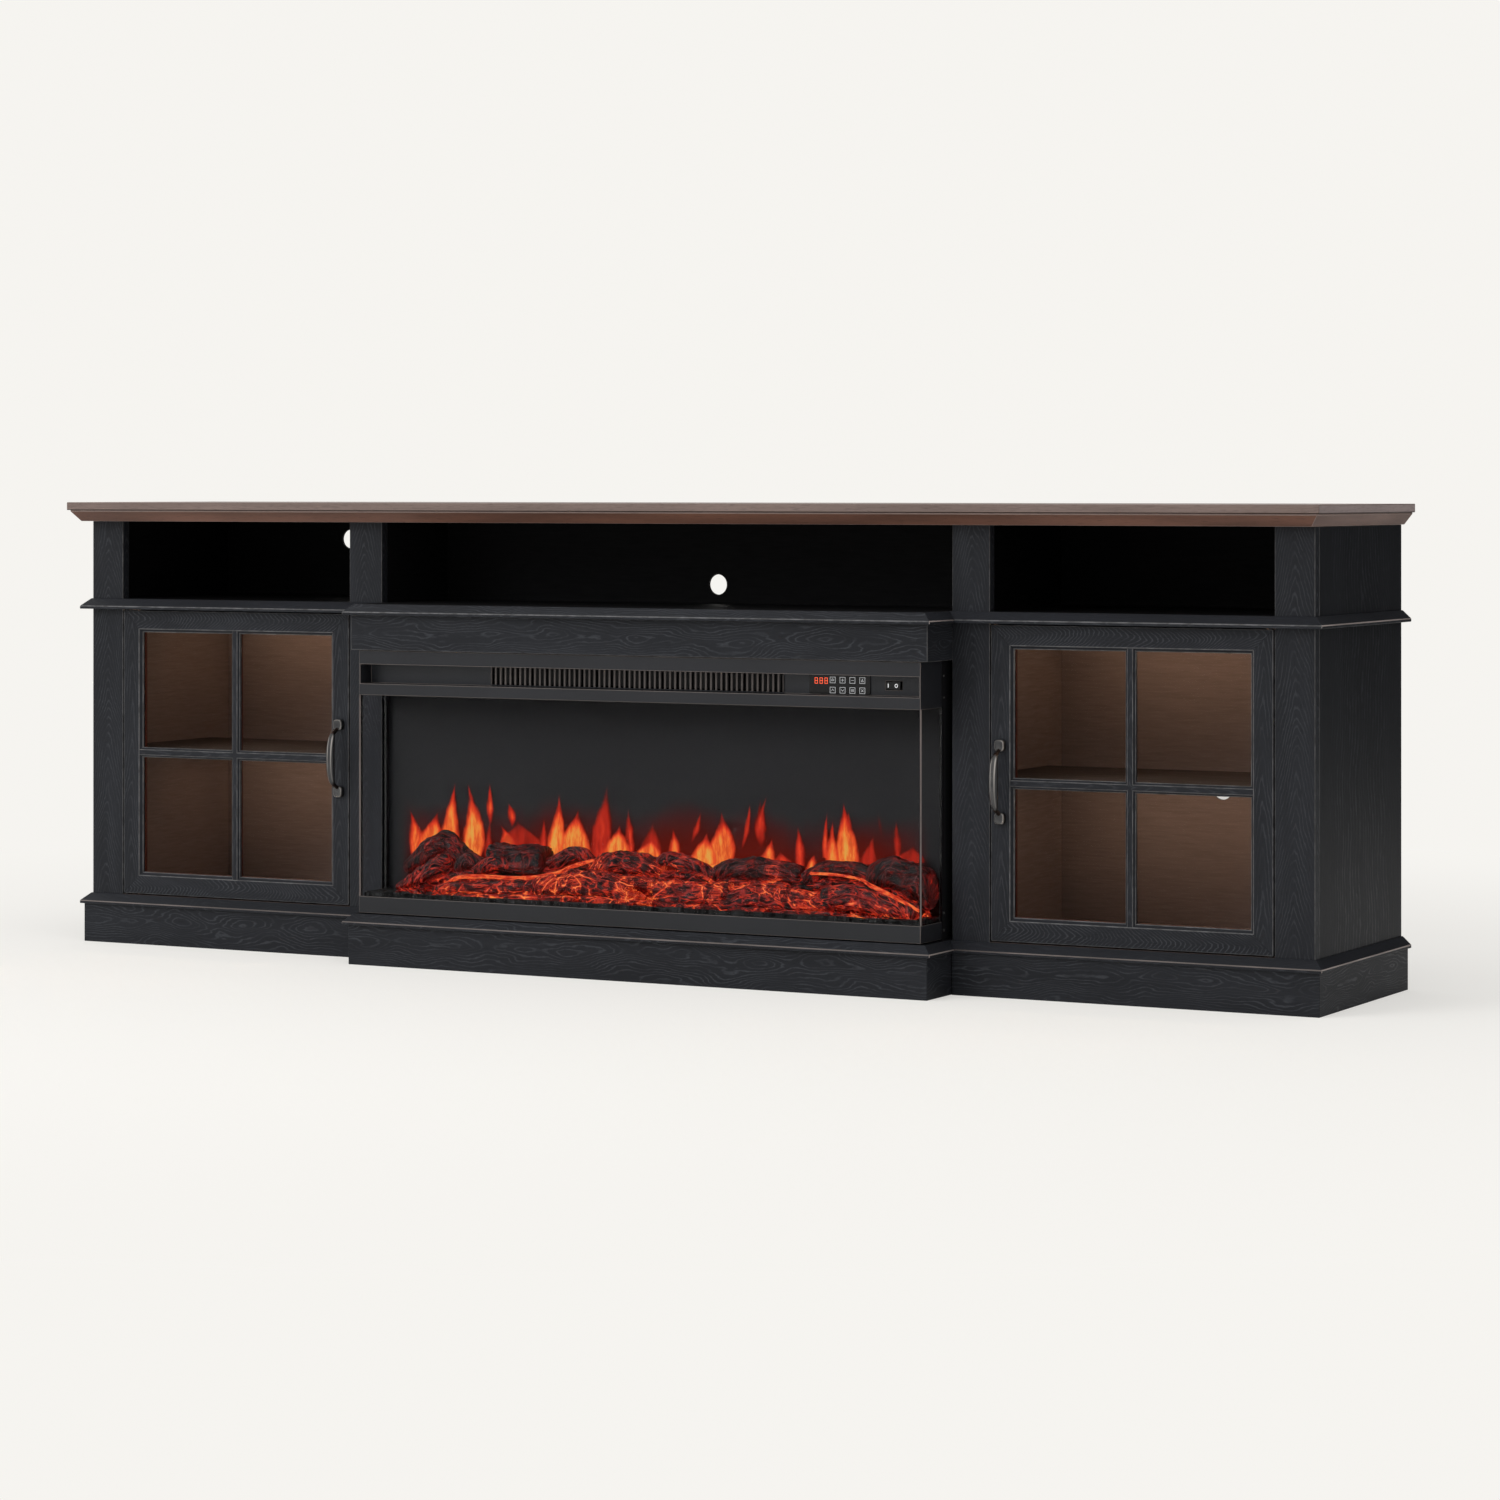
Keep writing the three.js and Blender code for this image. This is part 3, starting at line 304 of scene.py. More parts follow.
@finish
def painted(desk, shader, shade, contrast, figure):
    """Charcoal paint over embossed grain, scaled by its shade, which on the sides is painted shade."""
    drawn = figured(desk, figure)
    low, high, deep = (rgba(colours().paint, shade * gain) for gain in (0.84, 1.12, 0.45))
    body = desk.mix(desk.span(drawn["Tone"], 0.3, 0.7), low, high)
    body = desk.mix(drawn["Lines"], body, rgba(colours().grain, shade * contrast))
    body = desk.mix(desk.product(drawn["Pores"], 0.55), body, deep)
    height = desk.maths("SUBTRACT", drawn["Lines"], drawn["Pores"])
    desk.shade(shader, Base_Color=body, Specular_IOR_Level=0.13, Normal=desk.bump(height, 0.35, 0.2 * MM),
               Roughness=desk.span(drawn["Lines"], 0, 1, 0.48, 0.38))


@finish
def veneered(desk, shader, colour, dark, light, figure):
    """Veneer or stained wood, which also draws the painted sheen on the top's ends and the painted shadow at
    its joint.
    """
    drawn = figured(desk, figure)
    base = getattr(colours(), colour)
    body = desk.mix(desk.span(drawn["Tone"], 0.32, 0.68), rgba(base, dark), rgba(base, light))
    body = desk.mix(desk.product(drawn["Lines"], 0.5), body, rgba(base, dark * 0.7))
    body = desk.mix(desk.product(drawn["Pores"], 0.55), body, rgba(base, dark * 0.45))
    height = desk.maths("SUBTRACT", 0.0, desk.maths("ADD", drawn["Lines"], drawn["Pores"]))
    desk.shade(shader, Base_Color=body, Specular_IOR_Level=0.3, Normal=desk.bump(height, 0.3, 0.2 * MM),
               Roughness=desk.span(drawn["Tone"], 0.2, 0.8, 0.5, 0.36))


@finish
def rubbed(desk, shader, gain):
    """Painted highlight along an edge, mottled as if worn."""
    wear = desk.noise(desk.place(), 55, 4, 0.65)
    low, high = (rgba(colours().rubbed, value * gain) for value in (0.55, 1.5))
    desk.shade(shader, Base_Color=desk.mix(desk.span(wear, 0.3, 0.68), low, high), Roughness=0.5,
               Specular_IOR_Level=0.3, Normal=desk.bump(wear, 0.2, 0.2 * MM))


@finish
def worn_nose(desk, shader, gain):
    """Painted highlight on a moulding's nose, pale and mottled."""
    wear = desk.drawn(desk.place(), (9, 9, 160), 4, 0.6)
    low, high = (rgba(colour, gain) for colour in ((0.082, 0.07, 0.066), (0.162, 0.138, 0.129)))
    desk.shade(shader, Base_Color=desk.mix(desk.span(wear, 0.3, 0.7), low, high), Specular_IOR_Level=0.35,
               Roughness=desk.span(wear, 0, 1, 0.5, 0.34))


def paint(kind):
    name = f"painted_{kind}"
    return painted(name, *PAINTS[name])


def veneer(name):
    return veneered(name, *VENEERS[name])


# A painted highlight on the edges of mouldings and door members
def rubbed_edge():
    return rubbed("rubbed_edge", 1.0)


# A dimmer painted highlight on the edges of the carcass boards
def soft_edge():
    return rubbed("soft_edge", 0.6)


@finish
def board_lining(desk, shader):
    """Very dark painted shade in the niches and behind the stand, brown in the cupboards below the decks."""
    look = colours()
    place = desk.place()
    x, y, z = desk.parts(place)
    flecks = desk.drawn(place, (30, 30, 420), 3, 0.6)
    brown = desk.mix(flecks, rgba(look.cupboard, 0.75), rgba(look.cupboard, 1.3))
    niche_shade = desk.mix(flecks, rgba(look.lining, 0.7), rgba(look.lining, 1.5))
    below = desk.maths("LESS_THAN", z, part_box("left_deck")[0].z + 1 * MM)
    inside = desk.maths("LESS_THAN", y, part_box("left_back_panel")[1].y - 2 * MM)
    aside = desk.maths("GREATER_THAN", desk.maths("ABSOLUTE", x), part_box("right_partition")[0].x + 1 * MM)
    desk.shade(shader, Base_Color=desk.mix(desk.product(below, inside, aside), niche_shade, brown),
               Specular_IOR_Level=0.05, Roughness=desk.span(flecks, 0.2, 0.8, 0.66, 0.5),
               Normal=desk.bump(flecks, 0.15, 0.2 * MM))


@finish
def shelf_board(desk, shader):
    """The cupboards' brown on a shelf, darkened as painted shade."""
    flecks = desk.drawn(desk.place(), (12, 300, 300), 3, 0.6)
    low, high = (rgba(colours().cupboard, gain) for gain in (0.16, 0.3))
    desk.shade(shader, Base_Color=desk.mix(flecks, low, high), Specular_IOR_Level=0.05,
               Roughness=desk.span(flecks, 0.2, 0.8, 0.66, 0.5), Normal=desk.bump(flecks, 0.15, 0.2 * MM))


@finish
def bead_stain(desk, shader):
    """Dark red-brown stain of the beads behind the panes."""
    flecks = desk.drawn(desk.place(), (90, 90, 30), 3, 0.6)
    desk.shade(shader, Base_Color=desk.mix(flecks, (0.042, 0.01, 0.007, 1), (0.08, 0.021, 0.014, 1)),
               Specular_IOR_Level=0.1, Roughness=desk.span(flecks, 0.2, 0.8, 0.6, 0.45))


# Metal, glass and light

# Each coated sheet: its colour, the strength of its fine grain, and its roughness
SHEETS = {
    "fire_sheet": ((0.015, 0.0158, 0.0192), 1.0, 0.42),
    "band_sheet": ((0.0305, 0.0322, 0.0375), 1.0, 0.42),
    "base_sheet": ((0.0137, 0.0147, 0.0177), 1.0, 0.42),
    # A painted highlight on the roundings of the fire's sheet
    "fire_edge": ((0.14, 0.12, 0.112), 1.0, 0.42),
    "panel_edge": ((0.02, 0.02, 0.023), 1.0, 0.42),
    "rocker_edge": ((0.05, 0.05, 0.055), 1.0, 0.42),
    "screw_steel": ((0.13, 0.125, 0.12), 1.0, 0.42),
    "back_board": ((0.017, 0.0173, 0.0185), 1.0, 0.55),
    "black_sheet": ((0.006, 0.006, 0.007), 1.0, 0.5),
    "black_gloss": ((0.0045, 0.0045, 0.005), 0.3, 0.25),
}

# Far below the 1.5 of real glass, whose reflections speckle at few samples
GLASS_BEND = 1.035


@finish
def coated_sheet(desk, shader, colour, grain, rough):
    """A painted or printed sheet with a fine grain and a broad unevenness."""
    fine = desk.noise(desk.place(), 900, 3, 0.6)
    broad = desk.noise(desk.place(), 7, 3)
    body = desk.mix(desk.span(broad, 0.3, 0.7), rgba(colour, 0.92), rgba(colour, 1.08))
    body = desk.mix(desk.product(desk.span(fine, 0.4, 0.7), 0.25 * grain), body, rgba(colour, 1.6))
    desk.shade(shader, Base_Color=body, Specular_IOR_Level=0.3,
               Roughness=desk.span(broad, 0.2, 0.8, rough + 0.05, rough - 0.05),
               Normal=desk.bump(fine, 0.12 * grain, 0.1 * MM))


def sheet(name):
    return coated_sheet(name, *SHEETS[name])


@finish
def bright_steel(desk, shader):
    brushed = desk.drawn(desk.place(), (60, 900, 900), 3, 0.6)
    desk.shade(shader, Base_Color=desk.mix(brushed, (0.42, 0.43, 0.45, 1), (0.68, 0.69, 0.72, 1)),
               Metallic=1.0, Roughness=desk.span(brushed, 0.2, 0.8, 0.4, 0.24),
               Normal=desk.bump(brushed, 0.1, 0.1 * MM))


@finish
def gunmetal(desk, shader):
    """Cast metal of the pulls: lighter across the grip's front and the bosses' faces where worn and where a
    highlight is painted, with two painted highlight lines along the grip, painted highlights on the boss rims
    and a painted brown reflection on the necks.
    """
    along, out = desk.parts(desk.map("wear"))[:2]
    broad = desk.noise(desk.place(), 45, 3)
    front_wear_and_highlight = desk.product(desk.span(out, 0.1, 0.95), desk.span(broad, 0.2, 0.65))
    body = desk.mix(front_wear_and_highlight, (0.04, 0.041, 0.044, 1), (0.085, 0.085, 0.086, 1))
    middle = middle_of("left_door_pull").z
    lit = desk.span(desk.parts(desk.place())[2], middle - 26 * MM, middle + 26 * MM, 0.25, 1.0)
    # Two painted highlight lines along the grip, fading downwards
    highlight_stripe = desk.span(desk.maths("ABSOLUTE", desk.maths("SUBTRACT", out, 0.56)), 0.2, 0.04)
    highlight_stripe = desk.product(desk.span(along, 0.76, 0.62), highlight_stripe, lit)
    body = desk.mix(highlight_stripe, body, (0.4, 0.38, 0.365, 1))
    # Painted highlights on the bosses' rims
    rim = desk.product(desk.span(along, 1.1, 1.2), desk.span(out, 0.6, 0.8), desk.span(out, 1.0, 0.93))
    body = desk.mix(desk.product(rim, 0.8), body, (0.34, 0.325, 0.31, 1))
    # A painted brown reflection on the necks
    neck = desk.product(desk.span(along, 0.72, 0.78), desk.span(along, 1.0, 0.92))
    body = desk.mix(neck, body, (0.05, 0.034, 0.028, 1))
    cast = desk.noise(desk.place(), 260, 4, 0.6)
    desk.shade(shader, Base_Color=body, Metallic=0.85, Specular_IOR_Level=0.5,
               Roughness=desk.span(front_wear_and_highlight, 0, 1, 0.46, 0.27), Normal=desk.bump(cast, 0.25, 0.25 * MM))


@finish
def glowing(desk, shader, colour, strength):
    """A lit surface with a faint unevenness."""
    cells = desk.noise(desk.place(), 80)
    desk.shade(shader, Base_Color=rgba(colour, 0.5), Roughness=0.5, Emission_Strength=strength,
               Emission_Color=desk.mix(cells, rgba(colour, 0.8), rgba(colour)),
               Normal=desk.bump(cells, 0.1, 0.1 * MM))


@finish
def pane_glass(desk, shader, tint):
    """Clear sheet glass that lets the lamps' light through."""
    clear = desk.mix(desk.noise(desk.place(), 3), rgba(tint, 0.985), rgba(tint))
    desk.shade(shader, Base_Color=clear, Roughness=0.0, IOR=GLASS_BEND, Transmission_Weight=1.0)
    shadow = desk.add("ShaderNodeLightPath").outputs["Is Shadow Ray"]
    through = desk.add("ShaderNodeBsdfTransparent", {"Color": clear})
    both = desk.add("ShaderNodeMixShader", {0: shadow, 1: shader.outputs[0], 2: through.outputs[0]})
    output = next(node for node in desk.tree.nodes if node.type == "OUTPUT_MATERIAL")
    desk.feed(output.inputs["Surface"], both.outputs[0])


@finish
def polished_edge(desk, shader):
    """The pale ground edge of a pane."""
    cells = desk.drawn(desk.place(), (60, 60, 12), 3)
    desk.shade(shader, Base_Color=desk.mix(cells, (0.2, 0.17, 0.16, 1), (0.36, 0.3, 0.285, 1)),
               Roughness=0.25, Specular_IOR_Level=0.5, Normal=desk.bump(cells, 0.1, 0.1 * MM))


@finish
def dark_screen(desk, shader):
    """The smoked screen that the flames show on."""
    broad = desk.noise(desk.place(), 4, 3)
    desk.shade(shader, Base_Color=desk.mix(broad, (0.0121, 0.0125, 0.0136, 1), (0.0148, 0.0153, 0.0165, 1)),
               Specular_IOR_Level=0.1, Roughness=desk.span(broad, 0.2, 0.8, 0.4, 0.5))


@finish
def ember_bark(desk, shader):
    """Charred bark with glowing lines along it, cracks across it and deep red between them."""
    place = desk.place()
    bark = desk.map("bark")
    glow = desk.parts(desk.map("glow"))[0]
    drift = desk.add("ShaderNodeTexNoise", {"Vector": bark, "Scale": 38.0, "Detail": 2.0}).outputs[1]
    drift = desk.vectors("SCALE", {0: drift, 3: 0.012})[0]
    bent = desk.vectors("ADD", {0: bark, 1: drift})[0]
    fine = desk.drawn(bent, (60, 210, 1), 4, 0.65)
    patch = desk.noise(place, 17, 3, 0.6)
    flecks = desk.span(desk.noise(place, 60, 2, 0.6), 0.4, 0.58)
    mask = desk.maths("SUBTRACT", patch, desk.maths("MULTIPLY_ADD", glow, -0.4, 0.78))
    mask = desk.span(mask, -0.12, 0.1)
    streak = desk.middle_line(desk.drawn(bent, (16, 95, 1), 3, 0.6), 0.027)
    dash = desk.middle_line(desk.drawn(bent, (85, 26, 1)), 0.018)
    hair = desk.middle_line(desk.drawn(bent, (40, 150, 1)), 0.06)
    cells = desk.add("ShaderNodeTexVoronoi", {
        "Vector": desk.stretch(bent, 1, 1.7, 1), "Scale": 30.0}, feature="DISTANCE_TO_EDGE")
    lines = desk.maths("MAXIMUM", desk.product(streak, 0.8), desk.span(cells.outputs[0], 0.075, 0.0))
    lines = desk.maths("MAXIMUM", lines, desk.product(dash, desk.span(patch, 0.46, 0.58)))
    lines = desk.product(lines, desk.span(fine, 0.33, 0.56, 0.4, 1.0))
    vein = desk.product(desk.span(glow, 0.96, 1.0), desk.span(fine, 0.34, 0.62, 0.35, 0.85))
    deep = desk.product(desk.span(fine, 0.4, 0.62, 0.06, 0.44), desk.span(patch, 0.4, 0.6, 0.3, 1.0))
    heat = desk.product(desk.maths("MAXIMUM", deep, lines), mask, desk.span(flecks, 0.0, 0.4, 0.3, 1.0))
    thin = desk.maths("MAXIMUM", desk.product(hair, flecks), desk.product(lines, 0.6))
    heat = desk.maths("MAXIMUM", heat, desk.product(thin, desk.span(glow, 0.05, 0.4, 0.0, 0.55)))
    heat = desk.ramp(
        desk.maths("MAXIMUM", heat, vein), (0.0, (0, 0, 0)), (0.12, (0.06, 0.002, 0.0015)),
        (0.34, (0.27, 0.009, 0.005)), (0.66, (0.7, 0.05, 0.014)), last=(1.0, (0.95, 0.27, 0.06)))
    char = desk.mix(desk.span(fine, 0.36, 0.66), (0.0022, 0.0023, 0.0024, 1), (0.019, 0.0195, 0.02, 1))
    char = desk.mix(desk.product(glow, mask), char, (0.012, 0.006, 0.0055, 1))
    ridge = desk.maths("SUBTRACT", fine, desk.product(lines, 0.8))
    desk.shade(shader, Base_Color=char, Specular_IOR_Level=0.12, Emission_Color=heat,
               Emission_Strength=bpy.context.scene.stand_light.ember,
               Roughness=desk.span(fine, 0.2, 0.8, 0.75, 0.5), Normal=desk.bump(ridge, 0.9, 1.6 * MM))


@finish
def flame_light(desk, shader):
    """Light of a tongue: orange in its core, red at its rim and tip, with ragged see-through edges."""
    across, down = desk.parts(desk.map("tongue"))[:2]
    heat, half = desk.parts(desk.map("heat"))[:2]
    inward = desk.maths("ABSOLUTE", desk.maths("MULTIPLY_ADD", across, 2.0, -1.0))
    inward = desk.maths("SUBTRACT", 1.0, inward)
    depth = desk.product(inward, desk.maths("MAXIMUM", half, 0.3))
    ragged = desk.maths("SUBTRACT", desk.drawn(desk.place(), (150, 150, 60)), 0.5)
    depth = desk.maths("MULTIPLY_ADD", ragged, 0.34, depth)
    wisps = desk.drawn(desk.place(), (95, 95, 24), 3, 0.6)
    core = desk.product(desk.span(depth, 0.08, 0.62), desk.span(wisps, 0.38, 0.64, 0.3, 1.0),
                        desk.span(down, 0.0, 0.35, 0.6, 1.0))
    light = desk.ramp(
        desk.product(heat, desk.maths("MULTIPLY_ADD", core, 0.52, 0.45)), (0.0, (0.3, 0.016, 0.01)),
        (0.3, (0.5, 0.026, 0.014)), (0.46, (0.72, 0.052, 0.02)), (0.64, (0.82, 0.135, 0.03)),
        (0.82, (0.8, 0.24, 0.045)), last=(0.98, (0.74, 0.36, 0.07)))
    solid = desk.product(desk.span(depth, 0.0, 0.4), desk.span(heat, 0.0, 0.6, 0.05, 0.96),
                         desk.span(wisps, 0.3, 0.55, 0.55, 1.0))
    desk.shade(shader, Base_Color=(0, 0, 0, 1), Specular_IOR_Level=0.0, Alpha=solid, Emission_Color=light,
               Emission_Strength=bpy.context.scene.stand_light.flame)


@finish
def red_haze(desk, shader):
    """A veil of red light that thins out upwards and towards its ends."""
    place = desk.place()
    x, _, z = desk.parts(place)
    drift = desk.drawn(place, (9, 9, 4), 3, 0.55)
    height = desk.maths("MULTIPLY_ADD", drift, -90 * MM, z)
    veil = desk.product(desk.span(height, 200 * MM, 105 * MM), desk.span(drift, 0.3, 0.6, 0.6, 1.0))
    ends = desk.span(desk.maths("ABSOLUTE", x), 436 * MM, 380 * MM)
    desk.shade(shader, Base_Color=(0, 0, 0, 1), Specular_IOR_Level=0.0, Alpha=desk.product(veil, ends, 0.55),
               Emission_Color=desk.mix(drift, (0.1, 0.005, 0.0035, 1), (0.25, 0.016, 0.008, 1)),
               Emission_Strength=bpy.context.scene.stand_light.flame * 0.7)


# Meshes

def link_piece(name, mesh, materials, node=None, body=None, like=None):
    """Places a finished mesh in the scene. It stands for a CAD node, or is like one in body."""
    piece = bpy.data.objects.new(name, mesh)
    bpy.context.scene.collection.objects.link(piece)
    for number, material in enumerate(materials):
        if number < len(mesh.materials):
            mesh.materials[number] = material
        else:
            mesh.materials.append(material)
    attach(piece, body or body_of[node or like])
    if node:
        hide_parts(node)
    return piece


def bare_mesh(work, name):
    mesh = bpy.data.meshes.new(name)
    work.to_mesh(mesh)
    work.free()
    if "custom_normal" in mesh.attributes:
        mesh.attributes.remove(mesh.attributes["custom_normal"])
    return mesh


def drop_maps(work):
    for layer in list(work.loops.layers.uv.values()):
        work.loops.layers.uv.remove(layer)


def merged_copy(node):
    """A working copy of a CAD node with its triangles merged into flat faces."""
    work = bmesh.new()
    work.from_mesh(nodes[node].data)
    drop_maps(work)
    bmesh.ops.remove_doubles(work, verts=work.verts, dist=SAME_PLACE)
    bmesh.ops.dissolve_limit(work, angle_limit=math.radians(1), verts=work.verts, edges=work.edges)
    for face in work.faces:
        face.material_index = 0
        face.smooth = False
    return work


def is_mitre(face):
    return abs(abs(face.normal.x) - abs(face.normal.y)) < 0.1 and abs(face.normal.x) > 0.5


def round_edges(work, radius, segments=2, faces_to_skip=None, material=0):
    """Rounds every sharp edge and gives the rounding its material."""
    work.normal_update()
    edges = [
        edge for edge in work.edges
        if len(edge.link_faces) == 2 and edge.calc_face_angle() > math.radians(20)
        and not (faces_to_skip and any(faces_to_skip(face) for face in edge.link_faces))
    ]
    made = bmesh.ops.bevel(
        work, geom=edges, offset=radius, offset_type="OFFSET", segments=segments, profile=0.5,
        affect="EDGES", clamp_overlap=True, material=material)
    for face in made["faces"]:
        face.smooth = True


def grain_along(face, grain):
    """The way the grain runs. ROUND is along the boards that go round the stand."""
    if grain != "ROUND":
        return ALONG[grain]
    return ALONG["X"] if abs(face.normal.y) >= abs(face.normal.x) else ALONG["Y"]


def map_grain(work, grain, centre, offset, faces=None):
    """Gives faces a map in metres: along the grain, and across it from the piece's middle."""
    layer = work.loops.layers.uv.get("grain") or work.loops.layers.uv.new("grain")
    work.normal_update()
    for face in faces if faces is not None else work.faces:
        along = grain_along(face, grain)
        across = along.cross(face.normal)
        if across.length < 0.3:
            along = UP if abs(along.z) < 0.5 else ALONG["X"]
            across = along.cross(face.normal)
        across.normalize()
        for loop in face.loops:
            place = loop.vert.co - centre
            loop[layer].uv = (place.dot(along) + offset, place.dot(across))


def offset_of(name):
    """A shift along the grain that differs from piece to piece."""
    return sum(ord(letter) * (index + 3) for index, letter in enumerate(name)) % 97 * 0.173


def middle_of(node):
    low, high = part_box(node)
    return (low + high) / 2


def dress(node, coats, grain, radius, segments=2, skip=None, choose=None, repaint=None):
    """A rounded copy of a CAD board with a grain map, standing for it. Its roundings have coat 1."""
    work = merged_copy(node)
    if choose:
        work.normal_update()
        for face in work.faces:
            face.material_index = choose(face)
    round_edges(work, radius, segments, skip, material=1)
    if repaint:
        work.normal_update()
        for face in work.faces:
            repaint(face)
    map_grain(work, grain, middle_of(node), offset_of(node))
    return link_piece(f"{node}_dressed", bare_mesh(work, node), coats, node)


def coat(node, material):
    """Gives a CAD object that stays one material."""
    slots = nodes[node].data.materials
    slots.clear()
    slots.append(material)


def add_rows(work, rings):
    return [[work.verts.new(place) for place in ring] for ring in rings]


def add_loft(work, rings, strip_materials=None, smooth=True):
    """Adds a closed body through rings of places and gives back its faces."""
    rows = add_rows(work, rings)
    count = len(rows[0])
    faces = []
    for here, after in zip(rows, rows[1:]):
        for i in range(count):
            j = (i + 1) % count
            face = work.faces.new((here[i], here[j], after[j], after[i]))
            face.material_index = strip_materials[i] if strip_materials else 0
            face.smooth = smooth
            faces.append(face)
    for ring in (rows[0][::-1], rows[-1]):
        faces.append(work.faces.new(ring))
    for face in faces:
        face.normal_update()
    if sum(face.calc_center_median().dot(face.normal) * face.calc_area() for face in faces) < 0:
        bmesh.ops.reverse_faces(work, faces=faces)
    return faces


def add_closed_ring(work, rings):
    """Adds a body whose last ring joins its first."""
    rows = add_rows(work, rings)
    count = len(rows[0])
    faces = [work.faces.new((here[i], here[(i + 1) % count], after[(i + 1) % count], after[i]))
             for here, after in zip(rows, rows[1:] + rows[:1]) for i in range(count)]
    bmesh.ops.recalc_face_normals(work, faces=faces)


def add_box(work, low, high):
    """Adds a box between two corners."""
    ring = [(low[0], low[1]), (high[0], low[1]), (high[0], high[1]), (low[0], high[1])]
    add_loft(work, [[(x, y, z) for x, y in ring] for z in (low[2], high[2])], smooth=False)


def circle(count):
    """Equal angles round a circle."""
    return [2 * math.pi * k / count for k in range(count)]


def blend_value(start, end, share):
    return start + (end - start) * share


def held(value, low, high):
    return min(max(value, low), high)


def smooth_at(points, share):
    """A place on the smooth line through points, by share of its steps."""
    steps = len(points) - 1
    at = min(share * steps, steps - 1e-6)
    i = int(at)
    t = at - i
    p = [points[max(0, min(steps, k))] for k in (i - 1, i, i + 1, i + 2)]
    return 0.5 * (2 * p[1] + (p[2] - p[0]) * t + (2 * p[0] - 5 * p[1] + 4 * p[2] - p[3]) * t * t
                  + (3 * p[1] - 3 * p[2] + p[3] - p[0]) * t ** 3)


# Stage

class STAND_OT_stage(bpy.types.Operator):
    """Add the floor, the world, the lamps and the camera"""
    bl_idname = "stand.stage"
    bl_label = "Add Stage"

    # The camera stands level, at the photograph's angle, and its view is shifted down to the stand
    camera_place = (2.9379, -5.3702, 0.6977)
    camera_turn = math.radians(27.98)
    camera_lens = 100.81
    camera_shift = -0.1746
    # Each lamp: its name, place, width in metres and power in watts
    lamps = (("key_lamp", (-2.6, -4.4, 3.0), 3.2, 120), ("top_lamp", (0.4, -1.2, 4.2), 3.0, 45))
    lamp_aim = Vector((0, 0, 0.35))
    floor_size = 30
    # The flag's two ends on the floor, and its lower and upper edge
    flag_ends = ((0.2, 3.4), (3.6, 0.7))
    flag_heights = (0.02, 3.0)

    def execute(self, context):
        scene = context.scene
        backdrop = rgba(colours().backdrop)
        scene.view_settings.view_transform = "Standard"
        self.add_world(scene, backdrop)
        self.add_floor(scene, backdrop)
        for lamp in self.lamps:
            self.add_lamp(scene, *lamp)
        self.add_flag(scene)
        self.add_camera(scene)
        return {"FINISHED"}

    def add_camera(self, scene):
        camera = bpy.data.objects.new("camera", bpy.data.cameras.new("camera"))
        scene.collection.objects.link(camera)
        camera.location = self.camera_place
        camera.rotation_euler = (math.radians(90), 0, self.camera_turn)
        camera.data.sensor_width = 36
        camera.data.lens = self.camera_lens
        camera.data.shift_y = self.camera_shift
        scene.camera = camera

    def add_world(self, scene, backdrop):
        """White light, and the backdrop's colour where it is seen."""
        world = bpy.data.worlds.new("studio")
        world.use_nodes = True
        world.node_tree.nodes.clear()
        desk = Desk(world.node_tree)
        path = desk.add("ShaderNodeLightPath").outputs
        seen = desk.maths("MAXIMUM", path["Is Camera Ray"], path["Is Glossy Ray"])
        seen = desk.maths("MAXIMUM", seen, path["Is Transmission Ray"])
        light = desk.add("ShaderNodeBackground", {
            "Color": desk.mix(seen, (1, 1, 1, 1), backdrop),
            "Strength": desk.maths("MULTIPLY_ADD", seen, 0.4, 0.6)})
        desk.add("ShaderNodeOutputWorld", {"Surface": light.outputs[0]})
        scene.world = world

    def add_floor(self, scene, backdrop):
        """A floor that takes shadows near the stand and fades into the backdrop away from it."""
        work = bmesh.new()
        bmesh.ops.create_grid(work, x_segments=1, y_segments=1, size=self.floor_size)
        floor = bpy.data.objects.new("floor", bare_mesh(work, "floor"))
        scene.collection.objects.link(floor)
        material, desk, shader = new_material("pale_floor")
        away = desk.vectors("LENGTH", {0: desk.place()})["Value"]
        lit = desk.add("ShaderNodeBsdfDiffuse", {"Color": backdrop})
        plain = desk.add("ShaderNodeEmission", {"Color": backdrop})
        seen = desk.add("ShaderNodeLightPath").outputs["Is Camera Ray"]
        factor = desk.product(seen, desk.span(away, 0.9, 2.4, 0.55, 1.0))
        both = desk.add("ShaderNodeMixShader", {0: factor, 1: lit.outputs[0], 2: plain.outputs[0]})
        desk.feed(shader.outputs[0].links[0].to_socket, both.outputs[0])
        desk.tree.nodes.remove(shader)
        floor.data.materials.append(material)

    def add_flag(self, scene):
        """A dark upright card that only reflections show."""
        start, end = self.flag_ends
        foot, head = self.flag_heights
        work = bmesh.new()
        corners = [(*start, foot), (*end, foot), (*end, head), (*start, head)]
        work.faces.new([work.verts.new(corner) for corner in corners])
        flag = bpy.data.objects.new("side_flag", bare_mesh(work, "side_flag"))
        scene.collection.objects.link(flag)
        material, desk, shader = new_material("flag_cloth")
        desk.shade(shader, Base_Color=(0.01, 0.01, 0.01, 1), Roughness=1.0, Specular_IOR_Level=0.0)
        flag.data.materials.append(material)
        for ray in ("camera", "diffuse", "transmission", "shadow", "volume_scatter"):
            setattr(flag, f"visible_{ray}", False)

    def add_lamp(self, scene, name, place, size, power):
        lamp = bpy.data.objects.new(name, bpy.data.lights.new(name, "AREA"))
        lamp.data.shape = "DISK"
        lamp.data.size = size
        lamp.data.energy = power
        lamp.location = place
        lamp.rotation_euler = (self.lamp_aim - Vector(place)).to_track_quat("-Z", "Y").to_euler()
        lamp.visible_glossy = False
        scene.collection.objects.link(lamp)


# Carcass

